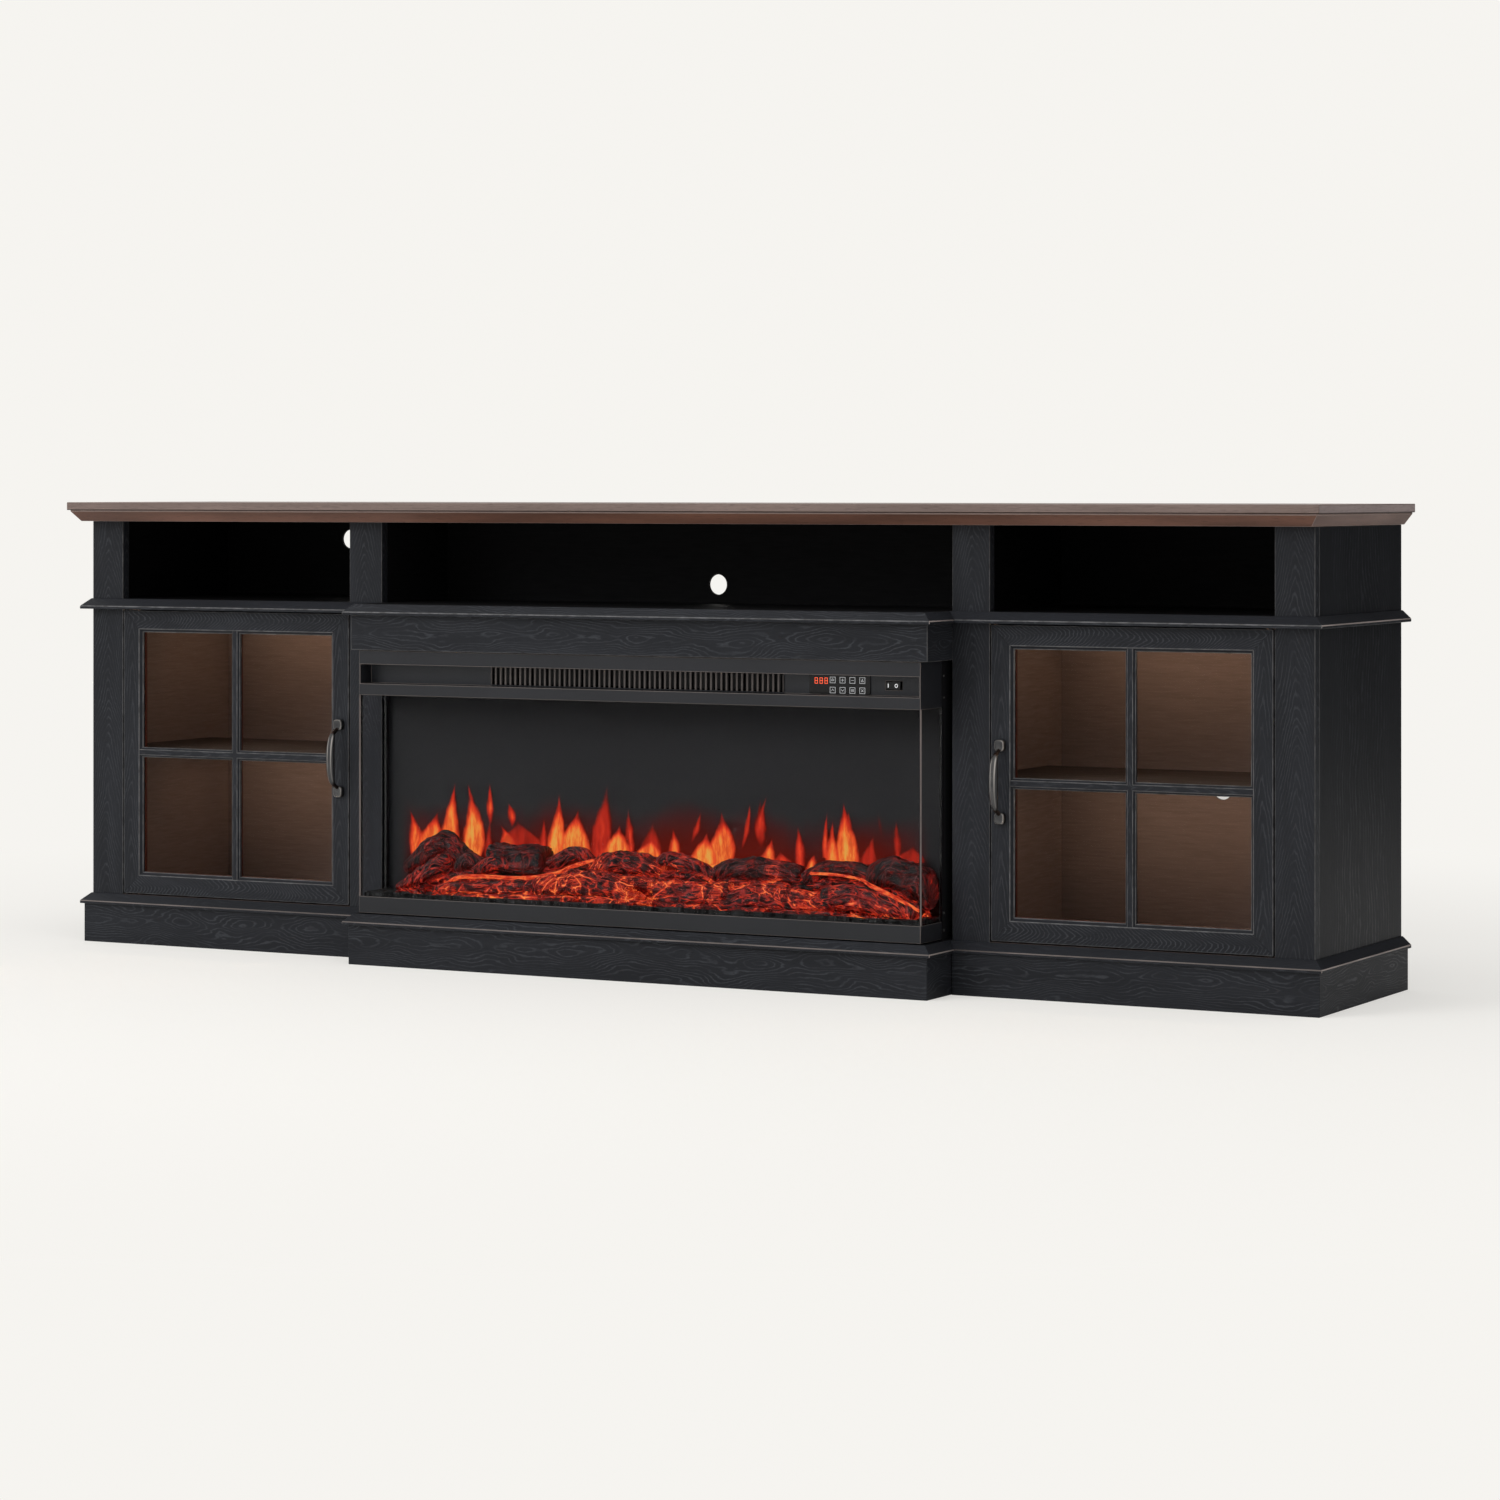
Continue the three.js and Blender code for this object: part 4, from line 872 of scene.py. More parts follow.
class STAND_OT_carcass(bpy.types.Operator):
    """Dress the painted boards of the carcass"""
    bl_idname = "stand.carcass"
    bl_label = "Dress Carcass"

    def execute(self, context):
        radius = context.scene.stand_sizes.board_round
        # The boards' roundings take the dimmer painted highlight
        deck_coats = [paint("boards"), soft_edge(), board_lining()]
        for side, sign in SIDES:
            # The side panels' outer faces take the sides' paint, darkened as painted shade
            dress(f"{side}_side_panel", [paint("sides"), soft_edge(), board_lining()], "Z", radius,
                  choose=lambda face, sign=sign: 2 if face.normal.x * sign < -0.5 else 0)
            for board in ("outer_stile", "inner_stile"):
                dress(f"{side}_{board}", [paint("stiles"), soft_edge()], "Z", radius)
            dress(f"{side}_deck", deck_coats, "X", radius / 2, choose=self.inside)
        dress("centre_deck", deck_coats, "X", radius / 2, choose=self.inside)
        dress("centre_frieze", [paint("boards"), soft_edge()], "ROUND", radius)
        return {"FINISHED"}

    def inside(self, face):
        """A deck's level faces have the lining."""
        return 2 if abs(face.normal.z) > 0.5 else 0


class STAND_OT_mouldings(bpy.types.Operator):
    """Dress the waist moulding and the skirting, with painted highlights on their noses"""
    bl_idname = "stand.mouldings"
    bl_label = "Dress Mouldings"

    # The nose's upper arris: its depth below the moulding's top, and how far its painted highlight reaches
    arris_drop = 11.5 * MM
    arris_reach = 2.4 * MM
    # How many times brighter the nose's painted highlight is on its side faces
    side_gain = 2.6

    def execute(self, context):
        radius = context.scene.stand_sizes.moulding_round
        for stretch in ("left", "centre", "right"):
            for part in ("waist_moulding", "skirting"):
                node = f"{stretch}_{part}"
                self.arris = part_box(node)[1].z - self.arris_drop
                front = rubbed_edge() if part == "waist_moulding" else worn_nose("moulding_nose", 1.0)
                coats = [paint("boards"), rubbed_edge(), front, worn_nose("side_nose", self.side_gain)]
                dress(node, coats, "ROUND", radius, 3, is_mitre, repaint=self.rub_arris)
        return {"FINISHED"}

    def rub_arris(self, face):
        """The nose's upper arris takes the painted highlight, brighter where it faces a side, and its other
        roundings keep their paint.
        """
        if face.material_index == 1:
            near = abs(face.calc_center_median().z - self.arris) < self.arris_reach
            aside = abs(face.normal.x) > abs(face.normal.y)
            face.material_index = (3 if aside else 2) if near and -0.2 < face.normal.z < 0.8 else 0


class STAND_OT_top(bpy.types.Operator):
    """Veneer the top, band its edges and stain the crown board"""
    bl_idname = "stand.top"
    bl_label = "Dress Top"

    # How far up from the top's underside its rounding carries the painted shadow of the joint
    joint_height = 1.2 * MM

    def execute(self, context):
        radius = context.scene.stand_sizes.board_round
        self.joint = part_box("tabletop")[0].z + self.joint_height
        names = ("top_veneer", "edge_band", "edge_band", "joint_shadow", "end_band")
        dress("tabletop", [veneer(name) for name in names], "ROUND", radius, 3,
              choose=self.edge, repaint=self.darken_joint)
        dress("crown_board", [veneer("crown_stain"), veneer("crown_line")], "ROUND", radius / 2,
              choose=self.crown_band)
        return {"FINISHED"}

    def darken_joint(self, face):
        if face.material_index == 1 and face.calc_center_median().z < self.joint:
            face.material_index = 3

    def edge(self, face):
        """Veneer above and below, the end band at both ends, and the edge band along the front and back."""
        if abs(face.normal.z) > 0.5:
            return 0
        return 4 if abs(face.normal.x) > 0.5 else 2

    def crown_band(self, face):
        return 1 if abs(face.normal.z) < 0.1 and face.normal.y < 0.5 else 0


# Doors

class STAND_OT_doors(bpy.types.Operator):
    """Build each door's mitred frame, stepped muntins and beads, and glaze it"""
    bl_idname = "stand.doors"
    bl_label = "Build Doors"

    # The frame's section: millimetres in from its outer edge, and back from its face
    frame_section = (
        (0, 16), (0, 0.9), (0.25, 0.25), (0.9, 0), (27.3, 0), (28.2, 0.2), (28.7, 0.9), (31.9, 4.2),
        (33, 4.8), (33, 8), (24, 8), (24, 16))
    # The strips of the section that carry the painted highlight
    frame_rubbed = {1, 2, 4, 5, 7}
    # One muntin's section: millimetres across it, and back from the frame's face
    muntin_section = (
        (-7.5, 8), (-7.5, 3.9), (-6.7, 3.1), (-5.2, 3.1), (-4.4, 1.2), (-3.4, 0.5), (0, 0.5), (3.4, 0.5),
        (4.4, 1.2), (5.2, 3.1), (6.7, 3.1), (7.5, 3.9), (7.5, 8), (0, 8))
    # The strips of a muntin's section that carry the painted highlight
    muntin_rubbed = {1, 4, 7, 10}
    # The frame's flat face and the slope inside it: their widths, and the slope's depth
    face_width, slope_width, slope_depth = 28.2, 3.8, 5
    # How far each end of a member stays short of its mitre
    mitre_gap = 0.2 * MM
    # How far in the grain's heart line runs, on a level member and on an upright one
    level_heart, upright_heart = 11 * MM, 15 * MM
    # The beads: their outer and inner edge from the door's edge, half a bar's width, and the gaps about them
    bead_out, bead_in, bar_half = 27.6 * MM, 33 * MM, 5 * MM
    pane_gap, back_gap, bead_gap = 0.3 * MM, 0.6 * MM, 0.1 * MM
    bead_round = 0.5 * MM

    def execute(self, context):
        for side, _ in SIDES:
            self.build_frame(side)
            self.build_muntins(side)
            self.build_beads(side)
            coat(f"{side}_door_glass", pane_glass("door_glass", (0.96, 0.95, 0.945)))
        return {"FINISHED"}

    def strips(self, section, rubbed):
        return [1 if k in rubbed else 0 for k in range(len(section))]

    def build_frame(self, side):
        """Four members that meet in mitres. The level ones have the rails' figure."""
        node = f"{side}_door_frame"
        low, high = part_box(node)
        corners = [(low.x, low.z, 1, 1), (high.x, low.z, -1, 1),
                   (high.x, high.z, -1, -1), (low.x, high.z, 1, -1)]
        work = bmesh.new()
        for i in range(4):
            here, after = corners[i], corners[(i + 1) % 4]
            run = Vector((after[0] - here[0], 0, after[1] - here[1])).normalized()
            rings = []
            for (x, z, right, up), pull in ((here, self.mitre_gap), (after, -self.mitre_gap)):
                rings.append([
                    Vector((x + right * t * MM, low.y + d * MM, z + up * t * MM)) + run * pull
                    for t, d in self.frame_section])
            faces = add_loft(work, rings, self.strips(self.frame_section, self.frame_rubbed), smooth=False)
            level = i % 2 == 0
            if level:
                for face in faces:
                    face.material_index = 1 if face.material_index else 2
            centre = Vector(((here[0] + after[0]) / 2, 0, (here[1] + after[1]) / 2))
            inward = Vector((here[2] + after[2], 0, here[3] + after[3])) / 2
            heart = centre + inward * (self.level_heart if level else self.upright_heart)
            map_grain(work, "X" if level else "Z", heart, offset_of(node) + i * 1.7, faces)
        coats = [paint("members"), rubbed_edge(), paint("rails")]
        link_piece(f"{node}_members", bare_mesh(work, node), coats, node)

    def build_muntins(self, side):
        """Four arms from the door's middle, mitred to each other and cut to the frame's slope."""
        node = f"{side}_door_muntins"
        low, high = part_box(f"{side}_door_frame")
        middle = (low + high) / 2
        work = bmesh.new()
        for along, reach in ((ALONG["Z"], high.z - middle.z), (ALONG["X"], high.x - middle.x),
                             (-ALONG["Z"], middle.z - low.z), (-ALONG["X"], middle.x - low.x)):
            across = along.cross(ALONG["Y"])
            rings = [[], []]
            for w, d in self.muntin_section:
                foot = Vector((middle.x, low.y + d * MM, middle.z)) + across * w * MM
                slope = self.slope_width * min(d, self.slope_depth) / self.slope_depth
                rings[0].append(foot + along * abs(w) * MM)
                rings[1].append(foot + along * (reach - (self.face_width + slope) * MM))
            faces = add_loft(work, rings, self.strips(self.muntin_section, self.muntin_rubbed), smooth=False)
            map_grain(work, "X" if along.x else "Z", middle, offset_of(node), faces)
        bmesh.ops.remove_doubles(work, verts=work.verts, dist=SAME_PLACE)
        link_piece(f"{node}_moulded", bare_mesh(work, node), [paint("members"), rubbed_edge()], node)

    def build_beads(self, side):
        """The slim beads that hold the pane from behind, and the bars behind the muntins."""
        frame_node = f"{side}_door_frame"
        low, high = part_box(frame_node)
        middle = (low + high) / 2
        near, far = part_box(f"{side}_door_glass")[1].y + self.pane_gap, high.y - self.back_gap
        out, sight, half, gap = self.bead_out, self.bead_in, self.bar_half, self.bead_gap
        work = bmesh.new()
        for z0, z1 in ((low.z + out, low.z + sight), (high.z - sight, high.z - out)):
            add_box(work, (low.x + out, near, z0), (high.x - out, far, z1))
        for x0, x1 in ((low.x + out, low.x + sight), (high.x - sight, high.x - out),
                       (middle.x - half, middle.x + half)):
            add_box(work, (x0, near, low.z + sight + gap), (x1, far, high.z - sight - gap))
        for x0, x1 in ((low.x + sight, middle.x - half), (middle.x + half, high.x - sight)):
            add_box(work, (x0 + gap, near, middle.z - half), (x1 - gap, far, middle.z + half))
        round_edges(work, self.bead_round, 1)
        link_piece(f"{side}_door_beads", bare_mesh(work, "beads"), [bead_stain()], like=frame_node)


class STAND_OT_pulls(bpy.types.Operator):
    """Build the cast door pulls: soft square bosses, thin necks and a swelling grip"""
    bl_idname = "stand.pulls"
    bl_label = "Build Pulls"

    # The grip's line: shares of half the spacing, and of the standoff
    path = ((-0.9, 0.12), (-0.87, 0.3), (-0.8, 0.56), (-0.7, 0.83), (-0.4, 0.99), (0, 1.04),
            (0.4, 0.99), (0.7, 0.83), (0.8, 0.56), (0.87, 0.3), (0.9, 0.12))
    half_spacing, standoff = 50 * MM, 25 * MM
    # Half the grip's width and depth at its neck, what its swelling and collars add, and their places
    neck, swelling, collar = (2.7, 2.9), (4.3, 1.6), 0.5
    swell_reach = 37 * MM
    collar_place, collar_width = 0.76, 0.03
    # The boss's rings: share of its size, and of its depth
    boss = ((0.97, 0), (1, 0.04), (1, 0.68), (0.97, 0.8), (0.9, 0.92), (0.76, 0.99), (0.5, 1.0))
    boss_half, boss_depth, boss_corner = (7.4, 8.2), 9 * MM, 0.6
    # The count of rings along the grip, and of points round it and round a boss
    grip_rings, grip_points, boss_points = 64, 20, 40

    def execute(self, context):
        for side, _ in SIDES:
            node = f"{side}_door_pull"
            middle = middle_of(node)
            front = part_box(f"{side}_door_frame")[0].y
            work = bmesh.new()
            wear = work.loops.layers.uv.new("wear")
            self.add_grip(work, wear, middle, front)
            for end in (-1, 1):
                self.add_boss(work, wear, middle, front, end)
            link_piece(f"{node}_cast", bare_mesh(work, node), [gunmetal()], node)
        return {"FINISHED"}

    def add_grip(self, work, wear, middle, front):
        rings = []
        count = self.grip_rings
        path = [Vector((*place, 0)) for place in self.path]
        for step in range(count + 1):
            here = smooth_at(path, step / count)
            ahead, behind = min(1, (step + 0.5) / count), max(0, (step - 0.5) / count)
            after = smooth_at(path, ahead) - smooth_at(path, behind)
            run = Vector((0, -after.y * self.standoff, after.x * self.half_spacing)).normalized()
            outward = run.cross(ALONG["X"])
            along = here.x * self.half_spacing
            centre = Vector((middle.x, front - here.y * self.standoff, middle.z + along))
            swell = math.sqrt(max(0.0, 1 - (along / self.swell_reach) ** 2))
            collar = self.collar * math.exp(-((abs(here.x) - self.collar_place) / self.collar_width) ** 2)
            half_width, half_depth = (
                (neck + swelling * swell + collar) * MM for neck, swelling in zip(self.neck, self.swelling))
            rings.append([centre + ALONG["X"] * half_width * math.cos(a) + outward * half_depth * math.sin(a)
                          for a in circle(self.grip_points)])
        widest = (self.neck[0] + self.swelling[0]) * MM
        for face in add_loft(work, rings):
            for loop in face.loops:
                along = abs(loop.vert.co.z - middle.z) / self.half_spacing
                loop[wear].uv = (along, 1 - abs(loop.vert.co.x - middle.x) / widest)

    def add_boss(self, work, wear, middle, front, end):
        rings = []
        for size, depth in self.boss:
            ring = []
            for angle in circle(self.boss_points):
                x, z = (half * math.copysign(abs(value) ** self.boss_corner, value) * size * MM
                        for half, value in zip(self.boss_half, (math.cos(angle), math.sin(angle))))
                centre = middle.z + end * self.half_spacing
                ring.append(Vector((middle.x + x, front - depth * self.boss_depth, centre + z)))
            rings.append(ring)
        for face in add_loft(work, rings):
            for loop in face.loops:
                loop[wear].uv = (BOSS_MARK, max(0.0, (front - loop.vert.co.y) / self.boss_depth))


# Interiors

class STAND_OT_interiors(bpy.types.Operator):
    """Line the niches with very dark painted shade and the cupboards with brown, and light the cupboards"""
    bl_idname = "stand.interiors"
    bl_label = "Line Interiors"

    panel_round = 0.4 * MM
    # The bar under a shelf: its depth, height and rounding, and its strength beside the upper bar's
    lamp_depth, lamp_height, lamp_round, lamp_gain = 8 * MM, 4 * MM, 0.8 * MM, 1.35
    # The stops: their inset at a cupboard's outer and inner side, how far the door covers them, their front
    # and back behind the door's back, and their rounding
    stop_out, stop_in, stop_lap = 18 * MM, 1 * MM, 5 * MM
    stop_front, stop_back, stop_round = 1.5 * MM, 6 * MM, 0.5 * MM

    def execute(self, context):
        strength = context.scene.stand_light.cupboard
        boards = ["bottom_board"]
        panels = ["centre_back_panel", "back_plinth_rail"]
        for side, _ in SIDES:
            boards.append(f"{side}_partition")
            panels.append(f"{side}_back_panel")
            coat(f"{side}_light_bar", glowing("warm_diffuser", (1.0, 0.73, 0.5), strength))
            coat(f"{side}_shelf", shelf_board())
            for end in ("upper", "lower"):
                coat(f"{side}_{end}_pivot", sheet("black_sheet"))
            self.add_shelf_lamp(side, strength)
            self.add_stops(side)
        for board in boards:
            coat(board, board_lining())
        for panel in panels:
            dress(panel, [board_lining(), sheet("back_board"), sheet("back_board")], "X", self.panel_round,
                  choose=lambda face: 2 if face.normal.y > 0.5 else 0)
        return {"FINISHED"}

    def add_shelf_lamp(self, side, strength):
        """A second, slimmer light bar under the shelf."""
        bar = f"{side}_light_bar"
        low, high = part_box(bar)
        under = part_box(f"{side}_shelf")[0].z
        work = bmesh.new()
        add_box(work, (low.x, low.y, under - self.lamp_height), (high.x, low.y + self.lamp_depth, under))
        round_edges(work, self.lamp_round)
        diffuser = glowing("shelf_diffuser", (1.0, 0.75, 0.54), strength * self.lamp_gain)
        link_piece(f"{side}_shelf_lamp", bare_mesh(work, "shelf_lamp"), [diffuser], like=bar)

    def add_stops(self, side):
        """Slim stops in the sides' darker paint that close the gaps over and under the door, standing in for
        the shade that hides those gaps.
        """
        low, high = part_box(f"{side}_door_frame")
        top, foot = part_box(f"{side}_deck")[0].z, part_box("bottom_board")[1].z
        start, end = (self.stop_out, self.stop_in) if side == "left" else (self.stop_in, self.stop_out)
        work = bmesh.new()
        for z0, z1 in ((high.z - self.stop_lap, top), (foot, low.z + self.stop_lap)):
            add_box(work, (low.x + start, high.y + self.stop_front, z0),
                    (high.x - end, high.y + self.stop_back, z1))
        round_edges(work, self.stop_round, 1)
        map_grain(work, "X", (low + high) / 2, offset_of(side))
        link_piece(f"{side}_door_stops", bare_mesh(work, "stops"), [paint("sides")], body="cabinet",
                   like=f"{side}_door_frame")


# Electric fire

class STAND_OT_fire_case(bpy.types.Operator):
    """Dress the fire's folded sheet, its housing and the parts inside it"""
    bl_idname = "stand.fire_case"
    bl_label = "Dress Fire Case"

    # The hood's recessed band lies deeper than this behind its front
    band_depth = 9 * MM
    dull_parts = ("fire_housing", "spindle_motor", "blower_motor", "heater_element")
    gloss_parts = ("blower_wheel", "mains_gland")

    def execute(self, context):
        radius = context.scene.stand_sizes.sheet_round
        self.band_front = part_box("fire_hood")[0].y + self.band_depth
        dress("fire_hood", [sheet("fire_sheet"), sheet("fire_edge"), sheet("band_sheet")], "X", radius,
              choose=self.band)
        dress("fire_base", [sheet("base_sheet"), sheet("fire_edge")], "X", radius)
        for node in self.dull_parts:
            coat(node, sheet("black_sheet"))
        for node in self.gloss_parts:
            coat(node, sheet("black_gloss"))
        coat("flame_spindle", bright_steel())
        coat("ember_lamp", glowing("ember_diffuser", (1.0, 0.2, 0.05), 1.5))
        return {"FINISHED"}

    def band(self, face):
        """The hood's recessed band is paler."""
        return 2 if face.normal.y < -0.5 and face.calc_center_median().y > self.band_front else 0


def new_tree(name, inputs):
    """A tree that takes geometry and the named inputs, and gives geometry."""
    tree = bpy.data.node_groups.new(name, "GeometryNodeTree")
    for title, kind in (("Geometry", "Geometry"), *inputs):
        tree.interface.new_socket(name=title, in_out="INPUT", socket_type=f"NodeSocket{kind}")
    tree.interface.new_socket(name="Geometry", in_out="OUTPUT", socket_type="NodeSocketGeometry")
    desk = Desk(tree)
    return desk, desk.add("NodeGroupInput").outputs


def made_real(desk, placed, material):
    """Instances turned into a plain mesh of one material."""
    real = desk.add("GeometryNodeRealizeInstances", {0: placed.outputs[0]})
    done = desk.add("GeometryNodeSetMaterial", {"Geometry": real.outputs[0], "Material": material})
    return done.outputs[0]


def grown(tree, values, start=None):
    """The plain mesh that a node tree makes with these input values."""
    holder = bpy.data.objects.new("holder", start or bpy.data.meshes.new("holder"))
    bpy.context.scene.collection.objects.link(holder)
    modifier = holder.modifiers.new("growth", "NODES")
    modifier.node_group = tree
    for item in tree.interface.items_tree:
        if item.item_type == "SOCKET" and item.in_out == "INPUT" and item.name in values:
            modifier[item.identifier] = values[item.name]
    shown = holder.evaluated_get(bpy.context.evaluated_depsgraph_get())
    mesh = bpy.data.meshes.new_from_object(shown)
    holder.modifiers.remove(modifier)
    bpy.data.objects.remove(holder)
    return mesh


def row_of_slats():
    """A node tree that sets equal bars in a row."""
    desk, given = new_tree("row_of_slats", (
        ("Count", "Int"), ("Start", "Vector"), ("Step", "Vector"), ("Slat Size", "Vector"),
        ("Finish", "Material")))
    line = desk.add("GeometryNodeMeshLine", {
        "Count": given["Count"], "Start Location": given["Start"], "Offset": given["Step"]}, mode="OFFSET")
    slat = desk.add("GeometryNodeMeshCube", {"Size": given["Slat Size"]})
    placed = desk.add("GeometryNodeInstanceOnPoints", {
        "Points": line.outputs[0], "Instance": slat.outputs[0]})
    desk.add("NodeGroupOutput", {0: made_real(desk, placed, given["Finish"])})
    return desk.tree


class STAND_OT_vent(bpy.types.Operator):
    """Build the vent's row of slats and its rim"""
    bl_idname = "stand.vent"
    bl_label = "Build Vent"

    slot_count = 58
    rim_height = 1.2 * MM
    slat_round = 0.35 * MM

    def execute(self, context):
        low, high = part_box("vent_grille")
        middle = (low + high) / 2
        slats = grown(row_of_slats(), {
            "Count": self.slot_count + 1,
            "Start": (low.x, middle.y, middle.z),
            "Step": ((high.x - low.x) / self.slot_count, 0, 0),
            "Slat Size": (context.scene.stand_sizes.slat_width, high.y - low.y,
                          high.z - low.z - 2 * self.rim_height),
            "Finish": sheet("band_sheet"),
        })
        work = bmesh.new()
        work.from_mesh(slats)
        for vert in work.verts:
            vert.co.x = held(vert.co.x, low.x, high.x)
        add_box(work, low, (high.x, high.y, low.z + self.rim_height))
        add_box(work, (low.x, low.y, high.z - self.rim_height), high)
        round_edges(work, self.slat_round, 1)
        drop_maps(work)
        map_grain(work, "Z", middle, 0)
        # The slats' flat faces come from the tree in the second slot
        coats = [sheet("band_sheet"), sheet("fire_edge")]
        link_piece("vent_slats", bare_mesh(work, "vent_slats"), coats, "vent_grille")
        return {"FINISHED"}


class STAND_OT_controls(bpy.types.Operator):
    """Build the control panel with its keys and figures, and mark the rocker switch"""
    bl_idname = "stand.controls"
    bl_label = "Build Controls"

    panel_round, rocker_round = 0.5 * MM, 0.35 * MM
    # How far a print's front is from the surface, and how thick the print is
    panel_lift, rocker_lift, print_depth = 0.25 * MM, 0.12 * MM, 0.3 * MM
    # The keys' rows and columns, half a key, and the width of its outline and of its sign's strokes
    rows, columns = (431.8, 417.8), (307.7, 323, 338.3, 353.6)
    half_key, outline_width, sign_width = 4.0 * MM, 0.58 * MM, 0.55 * MM
    # The display's figures: their count, first left end, spacing, foot, width, height and stroke
    figure_count, figure_left, figure_pitch, figure_foot = 3, 280.2 * MM, 7.7 * MM, 426.7 * MM
    figure_size, figure_stroke = (3.9 * MM, 7.7 * MM), 0.7 * MM
    # The seven strokes of a figure, as shares of its width and height
    strokes = (
        ((0, 1), (1, 1)), ((0, 0.5), (1, 0.5)), ((0, 0), (1, 0)), ((0, 0.5), (0, 1)), ((1, 0.5), (1, 1)),
        ((0, 0), (0, 0.5)), ((1, 0), (1, 0.5)))
    # A key's outline, and each key's sign, as strokes in shares of half the key
    outline = (((-1, 1), (1, 1)), ((1, 1), (1, -1)), ((1, -1), (-1, -1)), ((-1, -1), (-1, 1)))
    signs = (
        (((0, 0.1), (0, 0.55)), ((-0.4, 0.3), (-0.4, -0.25)), ((-0.4, -0.25), (0.4, -0.25)),
         ((0.4, -0.25), (0.4, 0.3))),
        (((-0.45, 0), (0.45, 0)), ((0, -0.45), (0, 0.45))),
        (((-0.45, 0), (0.45, 0)),),
        (((-0.4, -0.4), (0, 0.45)), ((0, 0.45), (0.4, -0.4)), ((-0.4, -0.4), (0.4, -0.4))),
        (((-0.4, -0.2), (0, 0.35)), ((0, 0.35), (0.4, -0.2))),
        (((-0.4, 0.2), (0, -0.35)), ((0, -0.35), (0.4, 0.2))),
        (((-0.4, -0.4), (-0.4, 0.4)), ((0, -0.4), (0, 0.4)), ((0.4, -0.4), (0.4, 0.4))),
        (((-0.4, -0.4), (0.4, 0.4)), ((-0.4, 0.4), (0.4, -0.4))))
    # The rocker's pressed and raised face at rest: both ends (x, y) and the mark's x, in millimetres
    rocker_faces = (((388.4, -173.1), (400.45, -173.5), 392.5), ((400.45, -173.5), (412.2, -176.0), 405.5))
    # Half the marks' height, half the I's width, and the width of the O's line and its count of points
    mark_half, bar_half, ring_line, ring_points = 2.7 * MM, 0.55 * MM, 0.8 * MM, 24

    def execute(self, context):
        self.mark_panel("control_panel")
        self.mark_rocker("rocker_switch")
        return {"FINISHED"}

    def mark_panel(self, node):
        """A glossy panel with touch keys and a display of figures."""
        dress(node, [sheet("black_gloss"), sheet("panel_edge")], "X", self.panel_round)
        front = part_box(node)[0].y - self.panel_lift
        keys, key_size = bmesh.new(), (self.half_key, self.half_key)
        places = [(x * MM, z * MM) for z in self.rows for x in self.columns]
        for place, sign in zip(places, self.signs):
            self.add_strokes(keys, self.outline, place, key_size, front, self.outline_width)
            self.add_strokes(keys, sign, place, key_size, front, self.sign_width)
        # The keys' printed marks are given a painted glow, though they hold no lamp
        glowing_key_grey = glowing("key_print", (0.52, 0.53, 0.54), 0.8)
        link_piece("key_marks", bare_mesh(keys, "key_marks"), [glowing_key_grey], like=node)
        figures = bmesh.new()
        for number in range(self.figure_count):
            place = (self.figure_left + number * self.figure_pitch, self.figure_foot)
            self.add_strokes(figures, self.strokes, place, self.figure_size, front, self.figure_stroke)
        display_red = glowing("display_red", (1.0, 0.13, 0.05), 1.2)
        link_piece("display_figures", bare_mesh(figures, "display_figures"), [display_red], like=node)

    def add_strokes(self, work, strokes, place, size, front, width):
        """Adds a flat bar for each stroke, whose ends are shares of the size from a place (x, z)."""
        for ends in strokes:
            start, end = (Vector((place[0] + x * size[0], front, place[1] + z * size[1])) for x, z in ends)
            run = (end - start).normalized() * width / 2
            side = Vector((-run.z, 0, run.x))
            ring = [start - run - side, end + run - side, end + run + side, start - run + side]
            add_loft(work, [ring, [corner + ALONG["Y"] * self.print_depth for corner in ring]], smooth=False)

    def mark_rocker(self, node):
        """A dressed rocker with I on its pressed end and O on the other."""
        dress(node, [sheet("black_gloss"), sheet("rocker_edge")], "Z", self.rocker_round)
        level = UP * middle_of(node).z
        work = bmesh.new()
        for ((x0, y0), (x1, y1), x), mark in zip(self.rocker_faces, (self.mark_bar, self.mark_ring)):
            slope = (y1 - y0) / (x1 - x0)
            outward = Vector((slope, -1, 0)).normalized()
            centre = Vector((x, y0 + slope * (x - x0), 0)) * MM + level + outward * self.rocker_lift
            mark(work, centre, outward, outward.cross(UP).normalized())
        # The printed I and O are given a painted glow, though they hold no lamp
        glowing_mark_white = glowing("switch_print", (0.9, 0.9, 0.9), 0.95)
        link_piece("rocker_marks", bare_mesh(work, "rocker_marks"), [glowing_mark_white], like=node)

    def mark_bar(self, work, centre, outward, across):
        ring = [centre + across * a * self.bar_half + UP * b * self.mark_half
                for a, b in ((-1, -1), (1, -1), (1, 1), (-1, 1))]
        add_loft(work, [ring, [corner - outward * self.print_depth for corner in ring]], smooth=False)

    def mark_ring(self, work, centre, outward, across):
        line, depth = self.ring_line, self.print_depth
        rings = []
        for angle in circle(self.ring_points):
            away = across * math.cos(angle) + UP * math.sin(angle)
            rings.append([centre + away * (self.mark_half - inset) - outward * back
                          for inset, back in ((0, 0), (line, 0), (line, depth), (0, depth))])
        add_closed_ring(work, rings)


